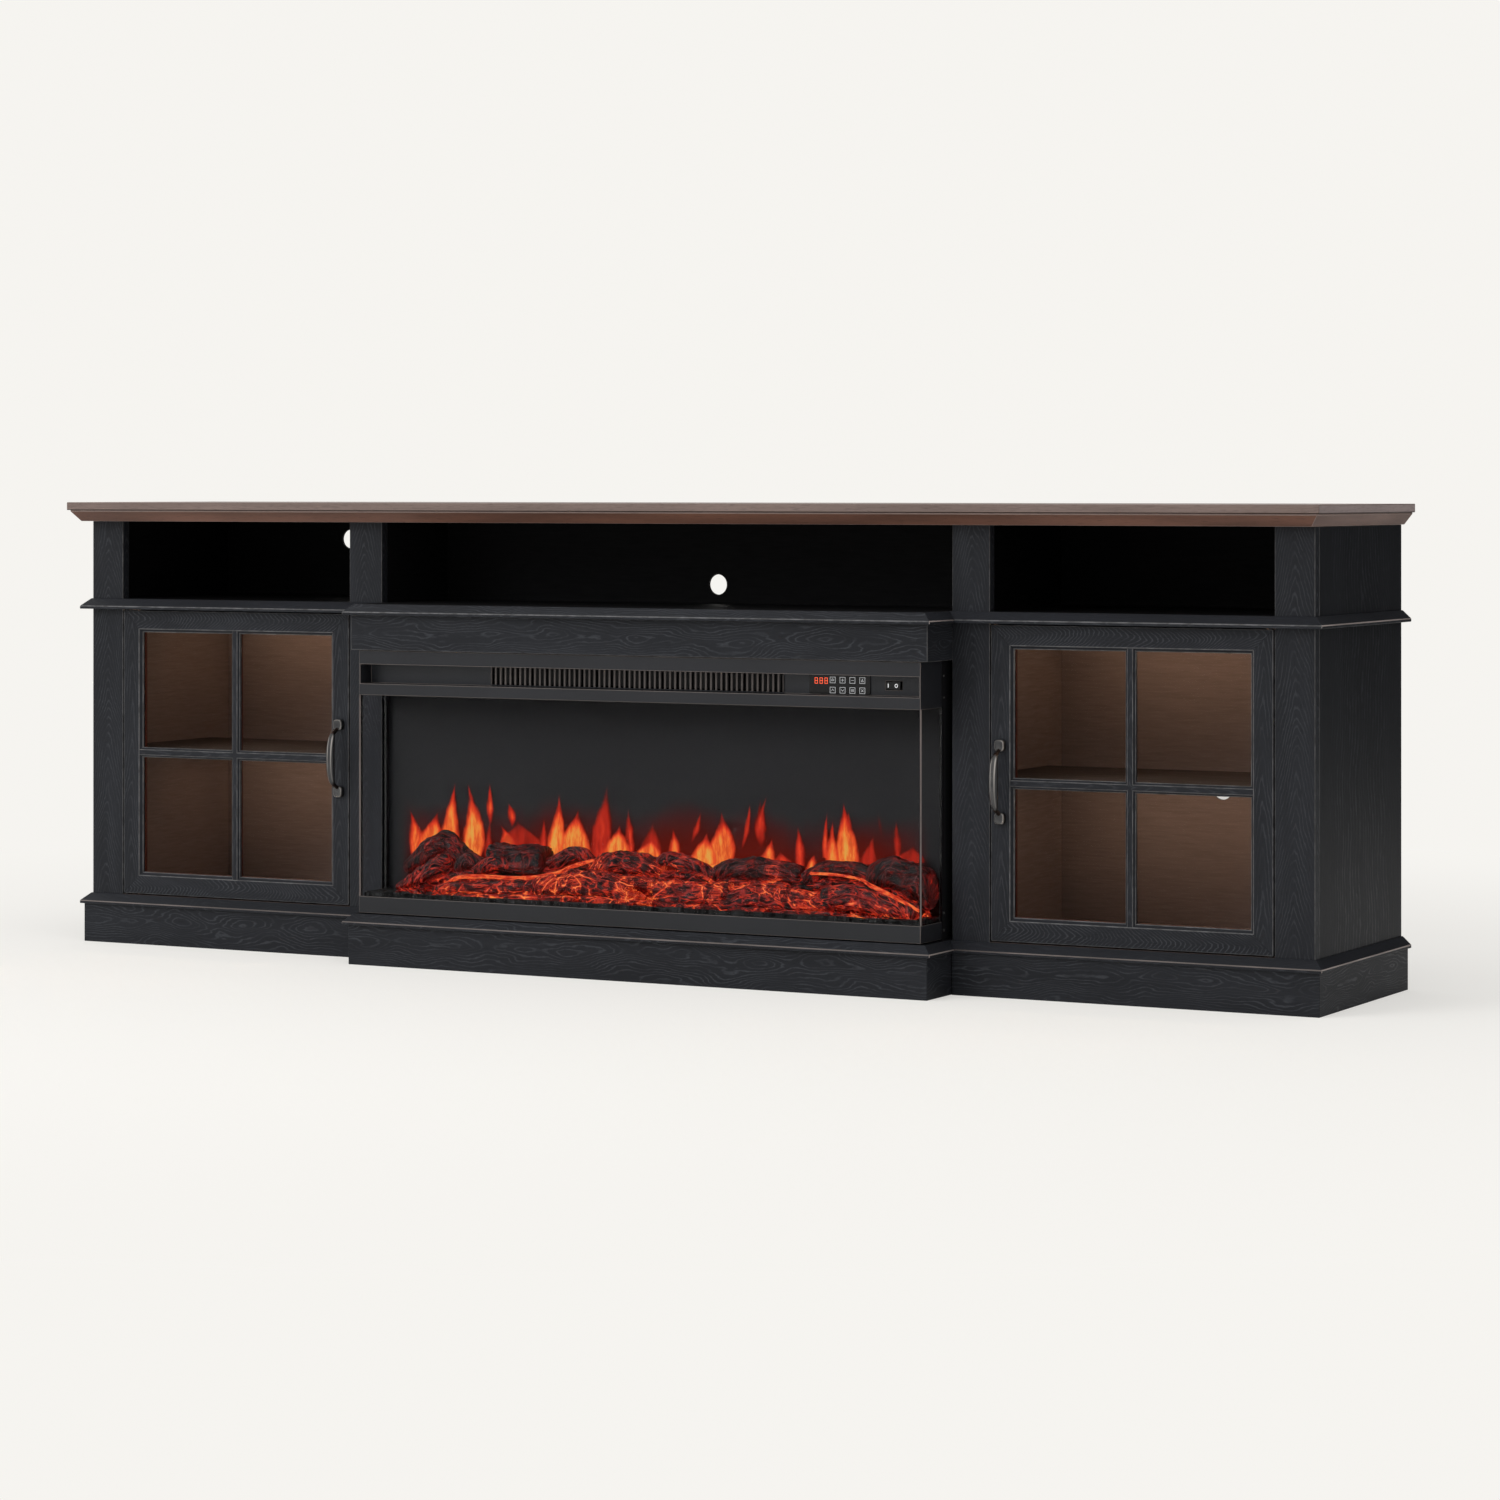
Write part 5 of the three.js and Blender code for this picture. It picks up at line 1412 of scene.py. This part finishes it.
class STAND_OT_glass(bpy.types.Operator):
    """Glaze the fire on three sides, with polished edges, and set its dark screen"""
    bl_idname = "stand.glass"
    bl_label = "Glaze Fire"

    pane_round = 0.4 * MM

    def execute(self, context):
        coats = [pane_glass("fire_glass", (0.97, 0.97, 0.975)), polished_edge(), sheet("black_gloss")]
        dress("front_glass", coats, "X", self.pane_round,
              choose=self.front_edge, repaint=self.darken_level_edge)
        for side, _ in SIDES:
            dress(f"{side}_side_glass", coats, "Y", self.pane_round,
                  choose=self.side_edge, repaint=self.darken_edge)
        coat("flame_screen", dark_screen())
        return {"FINISHED"}

    def front_edge(self, face):
        return 0 if abs(face.normal.y) > 0.5 else 1

    def side_edge(self, face):
        return 0 if abs(face.normal.x) > 0.5 else 2

    def darken_level_edge(self, face):
        if face.material_index and abs(face.normal.x) < 0.2:
            face.material_index = 2

    def darken_edge(self, face):
        if face.material_index:
            face.material_index = 2


# Fuel bed

def scatter_of_coals():
    """A node tree that strews faceted coals over a surface."""
    desk, given = new_tree("scatter_of_coals", (
        ("Density", "Float"), ("Spacing", "Float"), ("Coal Width", "Float"), ("Seed", "Int"),
        ("Finish", "Material")))
    spots = desk.add("GeometryNodeDistributePointsOnFaces", {
        "Mesh": given["Geometry"], "Distance Min": given["Spacing"], "Density Max": given["Density"],
        "Seed": given["Seed"]}, distribute_method="POISSON")
    half = desk.product(given["Coal Width"], 0.5)
    coal = desk.add("GeometryNodeMeshIcoSphere", {"Radius": half, "Subdivisions": 2})
    spot = desk.add("GeometryNodeInputPosition").outputs[0]
    swell = desk.maths("MULTIPLY_ADD", desk.noise(spot, 190, 1), 1.3, 0.35)
    shift = desk.vectors("SCALE", {0: spot, 3: swell})[0]
    lumpy = desk.add("GeometryNodeSetPosition", {"Geometry": coal.outputs[0], "Position": shift})
    turn, size = (
        desk.add("FunctionNodeRandomValue", {0: low, 1: high, "Seed": given["Seed"]},
                 data_type="FLOAT_VECTOR").outputs[0]
        for low, high in (((0, 0, 0), (6.28, 6.28, 6.28)), ((0.55, 0.5, 0.4), (1.35, 1.1, 0.8))))
    placed = desk.add("GeometryNodeInstanceOnPoints", {
        "Points": spots.outputs["Points"], "Instance": lumpy.outputs[0],
        "Rotation": turn, "Scale": size})
    desk.add("NodeGroupOutput", {0: made_real(desk, placed, given["Finish"])})
    return desk.tree


def mark_bark(work, faces, glow, place_of):
    """Gives faces the map that the bark follows, and how strongly they glow."""
    bark = work.loops.layers.uv.get("bark") or work.loops.layers.uv.new("bark")
    heat = work.loops.layers.uv.get("glow") or work.loops.layers.uv.new("glow")
    for face in faces:
        for loop in face.loops:
            loop[bark].uv = place_of(loop)
            loop[heat].uv = (glow, 0)


class STAND_OT_fuel_bed(bpy.types.Operator):
    """Lay the ember tray and strew it with coals"""
    bl_idname = "stand.fuel_bed"
    bl_label = "Lay Fuel Bed"

    # The patch that is strewn: its insets from the bed's left, right, front and back, and its drop
    patch_left, patch_right, patch_front, patch_back = 46 * MM, 12 * MM, 12 * MM, 7 * MM
    patch_drop = 1.5 * MM
    strewing = {"Density": 16000.0, "Spacing": 8.0 * MM, "Seed": 11}
    coal_glow = 0.62
    # How far above the bed's underside a coal ends
    coal_foot = 1 * MM

    def execute(self, context):
        low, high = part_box("ember_bed")
        work = merged_copy("ember_bed")
        mark_bark(work, work.faces, 0.0, lambda loop: loop.vert.co.xy)
        link_piece("ember_tray", bare_mesh(work, "ember_tray"), [ember_bark()], "ember_bed")
        work = bmesh.new()
        work.from_mesh(self.strewn(low, high, context.scene.stand_sizes.coal_width))
        for vert in work.verts:
            vert.co.y = held(vert.co.y, low.y, high.y)
            vert.co.z = max(vert.co.z, low.z + self.coal_foot)
        for face in work.faces:
            face.smooth = False
            face.material_index = 0
        mark_bark(work, work.faces, self.coal_glow,
                  lambda loop: (loop.vert.co.x, loop.vert.co.y + loop.vert.co.z))
        link_piece("coals", bare_mesh(work, "coals"), [ember_bark()], like="ember_bed")
        return {"FINISHED"}

    def strewn(self, low, high, coal_width):
        """The coals on a patch of the bed."""
        left, right = low.x + self.patch_left, high.x - self.patch_right
        front, back = low.y + self.patch_front, high.y - self.patch_back
        patch = bmesh.new()
        corners = ((left, front), (right, front), (right, back), (left, back))
        patch.faces.new([patch.verts.new((x, y, high.z - self.patch_drop)) for x, y in corners])
        values = {**self.strewing, "Coal Width": coal_width, "Finish": ember_bark()}
        return grown(scatter_of_coals(), values, bare_mesh(patch, "patch"))


class STAND_OT_logs(bpy.types.Operator):
    """Build the charred logs and the glowing wood in front of them"""
    bl_idname = "stand.logs"
    bl_label = "Build Logs"

    # Each log: how much it glows, how square it is, the depths of its ends, and places along it with the
    # log's radius there (x, z, radius), in millimetres
    logs = (
        (0.5, 0, -150, -150, ((-400, 114, 10), (-340, 128, 12), (-290, 132, 12), (-180, 135, 12))),
        (0.5, 0, -150, -150, ((-190, 138, 12), (-60, 143, 13), (30, 143, 13), (120, 141, 12))),
        (0.42, 0, -150, -150, ((90, 140, 12), (180, 142, 12), (300, 143, 12), (380, 140, 12),
                               (445, 124, 10))),
        (0.22, 0, -146, -146, ((-410, 136, 10), (-372, 164, 16), (-340, 180, 15), (-317, 161, 16),
                               (-283, 147, 12))),
        (0.32, 0, -160, -164, ((-418, 111, 4), (-390, 123, 10), (-355, 140, 14), (-323, 157, 10))),
        (0.2, 0, -157, -157, ((-317, 141, 8), (-295, 155, 12), (-275, 151, 9), (-258, 144, 5))),
        (0.7, 0, -166, -166, ((-283, 141, 5), (-259, 150, 10), (-235, 155, 11), (-218, 151, 8))),
        (0.2, 1, -152, -152, ((-258, 162, 20), (-212, 160, 21), (-167, 160, 21))),
        (0.3, 0, -158, -156, ((-161, 156, 9), (-137, 164, 11), (-111, 173, 11), (-85, 163, 7))),
        (0.75, 0, -156, -156, ((-94, 151, 10), (-58, 160, 17), (-16, 163, 16), (29, 156, 13))),
        (0.35, 0, -158, -158, ((21, 166, 7), (43, 172, 10), (72, 164, 12), (100, 153, 11), (115, 145, 5))),
        (0.22, 0, -154, -154, ((95, 144, 6), (135, 159, 14), (190, 163, 16), (250, 156, 15))),
        (0.25, 0, -156, -156, ((254, 151, 10), (284, 165, 12), (323, 168, 12), (361, 161, 12))),
        (0.2, 0, -158, -152, ((353, 156, 13), (386, 168, 20), (414, 161, 22), (434, 152, 24),
                              (459, 128, 18))),
    )
    glowing_rows = (
        (1, 0, -176, -172, ((-337, 113, 3), (-319, 123, 3), (-299, 132, 3), (-250, 135, 3), (-200, 135, 3),
                            (-144, 143, 3), (-109, 156, 3), (-77, 166, 2))),
        (0.85, 0, -176, -178, ((-344, 110, 6), (-307, 117, 9), (-235, 120, 11), (-167, 122, 12))),
        (0.9, 0, -178, -178, ((-173, 123, 12), (-131, 130, 16), (-91, 135, 18), (-35, 133, 16),
                              (35, 128, 14))),
        (0.95, 0, -186, -188, ((-378, 105, 2), (-330, 104, 4), (-220, 107, 5), (-87, 110, 5))),
        (0.95, 0, -188, -188, ((-102, 109, 5), (-40, 111, 7), (41, 113, 7))),
        (0.8, 0, -178, -178, ((-16, 122, 16), (34, 124, 18), (96, 127, 17), (151, 127, 18))),
        (0.75, 0, -178, -178, ((135, 121, 16), (190, 126, 17), (250, 125, 15), (310, 124, 12))),
        (0.6, 0, -176, -178, ((294, 131, 16), (336, 133, 17), (378, 127, 17), (425, 116, 13),
                              (439, 110, 9))),
        (1, 0, -172, -186, ((271, 162, 2), (310, 162, 2), (350, 158, 2), (371, 149, 3), (406, 136, 3),
                            (448, 118, 2))),
        (0.9, 0, -170, -186, ((36, 169, 2), (68, 159, 2), (103, 150, 3), (145, 133, 3), (191, 142, 3),
                              (239, 138, 3), (281, 132, 3), (329, 129, 2))),
        (0.95, 0, -188, -189, ((-10, 102, 6), (46, 106, 6), (120, 107, 6), (223, 107, 4))),
        (0.8, 0, -189, -189, ((211, 107, 4), (290, 108, 4), (383, 105, 3), (424, 102, 2))),
    )
    # The number that the glowing wood's count starts from, so that its bark differs from the logs'
    glowing_start = 40
    # A ring of points every so many millimetres, and how many points a thick and a thin log's ring has
    ring_step, thick_count, thin_count, thin_radius = 2.6, 34, 12, 6
    fewest_rings, least_radius = 10, 1.2
    # The lowest place of a log, in millimetres, just above the bed
    lowest = 100.5

    def execute(self, context):
        bed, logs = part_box("ember_bed"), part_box("log_set")
        self.limits_x = (bed[0].x / MM + 1, bed[1].x / MM - 1)
        self.limits_y = (logs[0].y / MM + 1, logs[1].y / MM)
        self.build("charred_logs", self.logs, 0, node="log_set")
        self.build("glowing_wood", self.glowing_rows, self.glowing_start, like="log_set")
        return {"FINISHED"}

    def build(self, name, rows, first, **stands_for):
        work = bmesh.new()
        for number, (glow, square, start, end, places) in enumerate(rows):
            last = len(places) - 1
            line = [Vector((x, blend_value(start, end, k / last), z, radius))
                    for k, (x, z, radius) in enumerate(places)]
            self.add_log(work, line, glow, square, first + number)
        link_piece(name, bare_mesh(work, name), [ember_bark()], **stands_for)

    def add_log(self, work, line, glow, square, number):
        length = sum((b.xyz - a.xyz).length for a, b in zip(line, line[1:]))
        rows = max(self.fewest_rings, int(length / self.ring_step))
        thin = max(place.w for place in line) < self.thin_radius
        angles = circle(self.thin_count if thin else self.thick_count)
        rings, marks = [], []
        for row in range(rows + 1):
            share = row / rows
            here, radius = smooth_at(line, share).xyz, max(self.least_radius, smooth_at(line, share).w)
            run = smooth_at(line, min(1, share + 0.01)).xyz - smooth_at(line, max(0, share - 0.01)).xyz
            run.normalize()
            across = ALONG["Y"].cross(run).normalized()
            outward = run.cross(across)
            ends = min(share, 1 - share) * length / radius
            taper = 0.62 + 0.38 * min(1.0, ends / (0.12 if square else 0.6)) ** 0.5
            ring = []
            for angle in angles:
                c, s = math.cos(angle), math.sin(angle)
                if square:
                    c, s = (math.copysign(abs(value) ** 0.45, value) for value in (c, s))
                out = across * c + outward * s
                bark = self.bark(here + out * radius, share * length, angle, number, square)
                ring.append(self.kept_inside(here + out * (radius * taper * bark)) * MM)
                marks.append((share * length * MM, angle * radius * MM))
            rings.append(ring)
        start = len(work.verts)
        faces = add_loft(work, rings)
        spots = dict(zip(list(work.verts)[start:], marks))
        mark_bark(work, faces, glow, lambda loop: (spots[loop.vert][0] + number * 0.31, spots[loop.vert][1]))

    def bark(self, place, along, angle, number, square):
        """How far the bark reaches at a place, as a share of the log's radius."""
        seed = Vector((number * 7.3, 0, 0))
        knobs = noise.fractal(place * 0.045 + seed, 0.9, 2.1, 4)
        furrow = Vector((along * 0.02, math.cos(angle) * 3.2, math.sin(angle) * 3.2)) + seed
        steps = abs(noise.noise(Vector((along * 0.09, angle * 0.7, number * 3.1))))
        return 1.08 + (0.1 if square else 0.2) * knobs - 0.42 * abs(noise.noise(furrow)) - 0.12 * steps

    def kept_inside(self, place):
        """Holds a place between the ends of the bed, the log set's front and back, and above the bed."""
        place.x = held(place.x, *self.limits_x)
        place.y = held(place.y, *self.limits_y)
        place.z = max(place.z, self.lowest)
        return place


class STAND_OT_flames(bpy.types.Operator):
    """Set the flame tongues in front of the screen, with a red haze behind them"""
    bl_idname = "stand.flames"
    bl_label = "Light Flames"

    # Each tongue: its tip and its foot (x, z) and its half width in millimetres, the share of its height from
    # the tip where it is widest, how far its middle leans, and its heat
    tongues = (
        (-417, 223, -406, 155, 14, 0.7, 5, 0.9), (-368, 221, -395, 155, 20, 0.6, 2, 1),
        (-337, 264, -346, 177, 18, 1, -2, 1), (-316, 263, -309, 159, 21, 0.85, 7, 1),
        (-278, 266, -277, 205, 8, 0.7, 0, 0.85), (-277, 215, -281, 159, 9, 0.95, 0, 0.4),
        (-247, 239, -241, 203, 8, 0.5, 3, 0.75), (-260, 206, -246, 174, 16, 0.95, 4, 0.9),
        (-231, 214, -222, 175, 36, 0.95, 2, 0.3), (-198, 190, -194, 174, 6, 0.9, 0, 1),
        (-186, 220, -187, 170, 8, 0.85, 0, 0.55), (-160, 254, -169, 161, 17, 0.85, 3, 1),
        (-129, 233, -139, 162, 30, 0.9, -1, 1), (-80, 270, -94, 164, 18, 0.7, 0, 0.4),
        (-59, 214, -65, 165, 26, 0.95, 0, 1), (-46, 238, -40, 169, 8, 0.6, -1, 0.65),
        (-4, 222, -10, 167, 20, 0.9, 0, 0.35), (-4, 198, -14, 167, 24, 0.95, 0, 0.95),
        (27, 213, 29, 172, 12, 0.95, 2, 0.85), (73, 237, 58, 192, 6, 0.55, 2, 0.7),
        (84, 209, 77, 163, 24, 0.95, 0, 1), (106, 238, 99, 156, 24, 0.75, 6, 0.95),
        (152, 251, 139, 186, 6, 0.55, 3, 0.7), (180, 264, 172, 189, 13, 0.95, -6, 0.6),
        (169, 259, 162, 202, 10, 0.9, 0, 0.25), (188, 204, 180, 165, 14, 0.9, -1, 1),
        (229, 223, 233, 167, 10, 0.7, 1, 0.55), (254, 184, 245, 158, 9, 0.5, 1, 1),
        (275, 244, 273, 180, 7, 0.9, -2, 0.8), (284, 232, 284, 174, 12, 0.95, -1, 0.95),
        (300, 258, 307, 170, 20, 0.85, 0, 1), (308, 247, 309, 215, 7, 0.9, 0, 0.6),
        (348, 214, 338, 174, 14, 0.95, -1, 0.38), (353, 250, 359, 212, 4, 0.9, 0, 0.15),
        (382, 237, 385, 179, 7, 0.6, 0, 0.42), (409, 203, 403, 179, 25, 0.95, 0, 0.28),
        (200, 187, 203, 166, 18, 0.95, 1, 0.45))
    ring_count, point_count = 28, 14
    # A tongue whose foot is above this height, in millimetres, hangs free of the logs and thins out
    wood_line = 182
    # The tongues take turns in three layers, this far apart in front of the screen
    layer_count, layer_gap, half_thickness = 3, 1.1 * MM, 0.35 * MM
    # The half width that the light's own map counts as one
    whole_width = 20
    # The veil: how far it reaches to both sides, its foot and head, and its front and back before the screen
    veil_reach, veil_foot, veil_head = 440 * MM, 104 * MM, 262 * MM
    veil_front, veil_back = 0.8 * MM, 0.4 * MM

    def execute(self, context):
        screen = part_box("flame_screen")[0].y
        work = bmesh.new()
        maps = [work.loops.layers.uv.new(name) for name in ("tongue", "heat")]
        for number, tongue in enumerate(self.tongues):
            depth = screen - (1 + number % self.layer_count) * self.layer_gap
            self.add_tongue(work, maps, tongue, depth)
        link_piece("flame_tongues", bare_mesh(work, "flame_tongues"), [flame_light()], like="flame_screen")
        veil = bmesh.new()
        add_box(veil, (-self.veil_reach, screen - self.veil_front, self.veil_foot),
                (self.veil_reach, screen - self.veil_back, self.veil_head))
        link_piece("flame_haze", bare_mesh(veil, "flame_haze"), [red_haze()], like="flame_screen")
        return {"FINISHED"}

    def add_tongue(self, work, maps, tongue, depth):
        tip_x, tip_z, foot_x, foot_z, wide, belly, lean, warmth = tongue
        rings, marks = [], []
        for row in range(self.ring_count + 1):
            share = row / self.ring_count
            x = blend_value(tip_x, foot_x, share) + lean * math.sin(math.pi * share)
            z = blend_value(tip_z, foot_z, share)
            hold = min(1, (1 - share) / 0.4) if foot_z > self.wood_line else 1
            half = max(0.2, wide * self.swell(share, belly) * hold ** 0.5)
            heat = warmth * (0.22 + 0.78 * math.sin(math.pi / 2 * min(1, share / 0.6))) * (0.1 + 0.9 * hold)
            ring = []
            for angle in circle(self.point_count):
                across = (x + half * math.cos(angle)) * MM
                ring.append(Vector((across, depth - self.half_thickness * math.sin(angle), z * MM)))
                marks.append(((0.5 + 0.5 * math.cos(angle), share), (heat, half / self.whole_width)))
            rings.append(ring)
        start = len(work.verts)
        faces = add_loft(work, rings)
        spots = dict(zip(list(work.verts)[start:], marks))
        for face in faces:
            for loop in face.loops:
                for layer, values in zip(maps, spots[loop.vert]):
                    loop[layer].uv = values

    def swell(self, share, belly):
        """A tongue's width down its height: pointed at the tip, widest at the belly, drawn in at the foot."""
        if share <= belly:
            return math.sin(math.pi / 2 * share / belly) ** 1.3
        return 1 - 0.2 * ((share - belly) / (1 - belly)) ** 2


# Screws

def set_of_screws():
    """A node tree that sets a screw head with a cross recess on each point."""
    desk, given = new_tree("set_of_screws", (
        ("Width", "Float"), ("Height", "Float"), ("Facing", "Vector"), ("Finish", "Material"),
        ("Recess", "Material")))
    width, height = given["Width"], given["Height"]
    half, thin = desk.product(width, 0.5), desk.product(width, 0.13)
    head = desk.add("GeometryNodeMeshCone", {
        "Vertices": 16, "Radius Top": desk.product(half, 0.72), "Radius Bottom": half, "Depth": height})
    lift = desk.add("ShaderNodeCombineXYZ", {2: desk.product(height, 0.94)})
    recess = desk.add("GeometryNodeJoinGeometry")
    for x, y in ((half, thin), (thin, half)):
        size = desk.add("ShaderNodeCombineXYZ", {0: x, 1: y, 2: desk.product(height, 0.2)})
        bar = desk.add("GeometryNodeMeshCube", {"Size": size.outputs[0]})
        moved = desk.add("GeometryNodeTransform", {
            "Geometry": bar.outputs[0], "Translation": lift.outputs[0]})
        desk.feed(recess.inputs[0], moved.outputs[0])
    whole = desk.add("GeometryNodeJoinGeometry")
    for shape, material in ((head, given["Finish"]), (recess, given["Recess"])):
        placed = desk.add("GeometryNodeInstanceOnPoints", {
            "Points": given["Geometry"], "Instance": shape.outputs[0], "Rotation": given["Facing"]})
        desk.feed(whole.inputs[0], made_real(desk, placed, material))
    desk.add("NodeGroupOutput", {0: whole.outputs[0]})
    return desk.tree


class STAND_OT_screws(bpy.types.Operator):
    """Set screws in the fire's posts, its housing and the middle back panel"""
    bl_idname = "stand.screws"
    bl_label = "Set Screws"

    # The posts' screws: how far their seats lie inside the housing's side, their depth and their heights
    post_sink, post_back, post_heights, post_head = 0.8 * MM, -130 * MM, (88, 112, 409, 439), 1.1 * MM
    # The back panel's screws: their inset, their count along it, and their heads' width and height
    panel_inset, panel_count, panel_width, back_head = 12 * MM, 7, 6 * MM, 1.2 * MM
    # The housing's screws: how far they reach to both sides, their heights, count and heads' width
    housing_reach, housing_heights, housing_count, housing_width = 440 * MM, (86, 450), 9, 5.6 * MM

    def execute(self, context):
        tree = set_of_screws()
        width = context.scene.stand_sizes.screw_width
        housing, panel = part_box("fire_housing")[1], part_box("centre_back_panel")
        for side, sign in SIDES:
            x = sign * (housing.x - self.post_sink)
            places = [(x, self.post_back, z * MM) for z in self.post_heights]
            self.set_row(tree, f"{side}_post_screws", places, (0, sign * math.pi / 2, 0),
                         width, self.post_head, sheet("screw_steel"))
        backward = (-math.pi / 2, 0, 0)
        left, right = panel[0].x + self.panel_inset, panel[1].x - self.panel_inset
        columns = self.spread(left, right, self.panel_count)
        rows = ((panel[0].z + self.panel_inset, columns), ((panel[0].z + panel[1].z) / 2, (left, right)),
                (panel[1].z - self.panel_inset, columns))
        places = [(x, panel[1].y, z) for z, row in rows for x in row]
        self.set_row(tree, "back_panel_screws", places, backward, self.panel_width, self.back_head,
                     sheet("black_gloss"))
        columns = self.spread(-self.housing_reach, self.housing_reach, self.housing_count)
        places = [(x, housing.y, z * MM) for z in self.housing_heights for x in columns]
        self.set_row(tree, "housing_screws", places, backward, self.housing_width, self.back_head,
                     bright_steel())
        return {"FINISHED"}

    def spread(self, start, end, count):
        return [blend_value(start, end, k / (count - 1)) for k in range(count)]

    def set_row(self, tree, name, places, facing, width, height, metal):
        points = bpy.data.meshes.new("points")
        points.from_pydata([Vector(place) for place in places], [], [])
        mesh = grown(tree, {"Width": width, "Height": height, "Facing": facing, "Finish": metal,
                            "Recess": sheet("black_sheet")}, points)
        mesh.name = name
        piece = link_piece(name, mesh, list(mesh.materials), body="cabinet")


# The add-on's panel and its registration

STEPS = (
    STAND_OT_stage, STAND_OT_carcass, STAND_OT_mouldings, STAND_OT_top, STAND_OT_doors, STAND_OT_pulls,
    STAND_OT_interiors, STAND_OT_fire_case, STAND_OT_vent, STAND_OT_controls, STAND_OT_glass,
    STAND_OT_fuel_bed, STAND_OT_logs, STAND_OT_flames, STAND_OT_screws)


class STAND_PT_panel(bpy.types.Panel):
    """Lists the stand's pieces and the values that shape them"""
    bl_idname = "STAND_PT_panel"
    bl_label = "Fireplace TV Stand"
    bl_space_type = "VIEW_3D"
    bl_region_type = "UI"
    bl_category = "TV Stand"

    def draw(self, context):
        for group in (context.scene.stand_colours, context.scene.stand_sizes, context.scene.stand_light):
            box = self.layout.box()
            for name in group.__annotations__:
                box.prop(group, name)
        for step in STEPS:
            self.layout.operator(step.bl_idname)


GROUPS = (("stand_colours", StandColours), ("stand_sizes", StandSizes), ("stand_light", StandLight))


def register():
    for name, group in GROUPS:
        bpy.utils.register_class(group)
        setattr(bpy.types.Scene, name, bpy.props.PointerProperty(type=group))
    for item in (*STEPS, STAND_PT_panel):
        bpy.utils.register_class(item)


def unregister():
    for item in (STAND_PT_panel, *reversed(STEPS)):
        bpy.utils.unregister_class(item)
    for name, group in reversed(GROUPS):
        delattr(bpy.types.Scene, name)
        bpy.utils.unregister_class(group)


def main():
    register()
    bpy.ops.stand.stage()
    bpy.ops.stand.carcass()
    bpy.ops.stand.mouldings()
    bpy.ops.stand.top()
    bpy.ops.stand.doors()
    bpy.ops.stand.pulls()
    bpy.ops.stand.interiors()
    bpy.ops.stand.fire_case()
    bpy.ops.stand.vent()
    bpy.ops.stand.controls()
    bpy.ops.stand.glass()
    bpy.ops.stand.fuel_bed()
    bpy.ops.stand.logs()
    bpy.ops.stand.flames()
    bpy.ops.stand.screws()


if __name__ == "__main__":
    main()
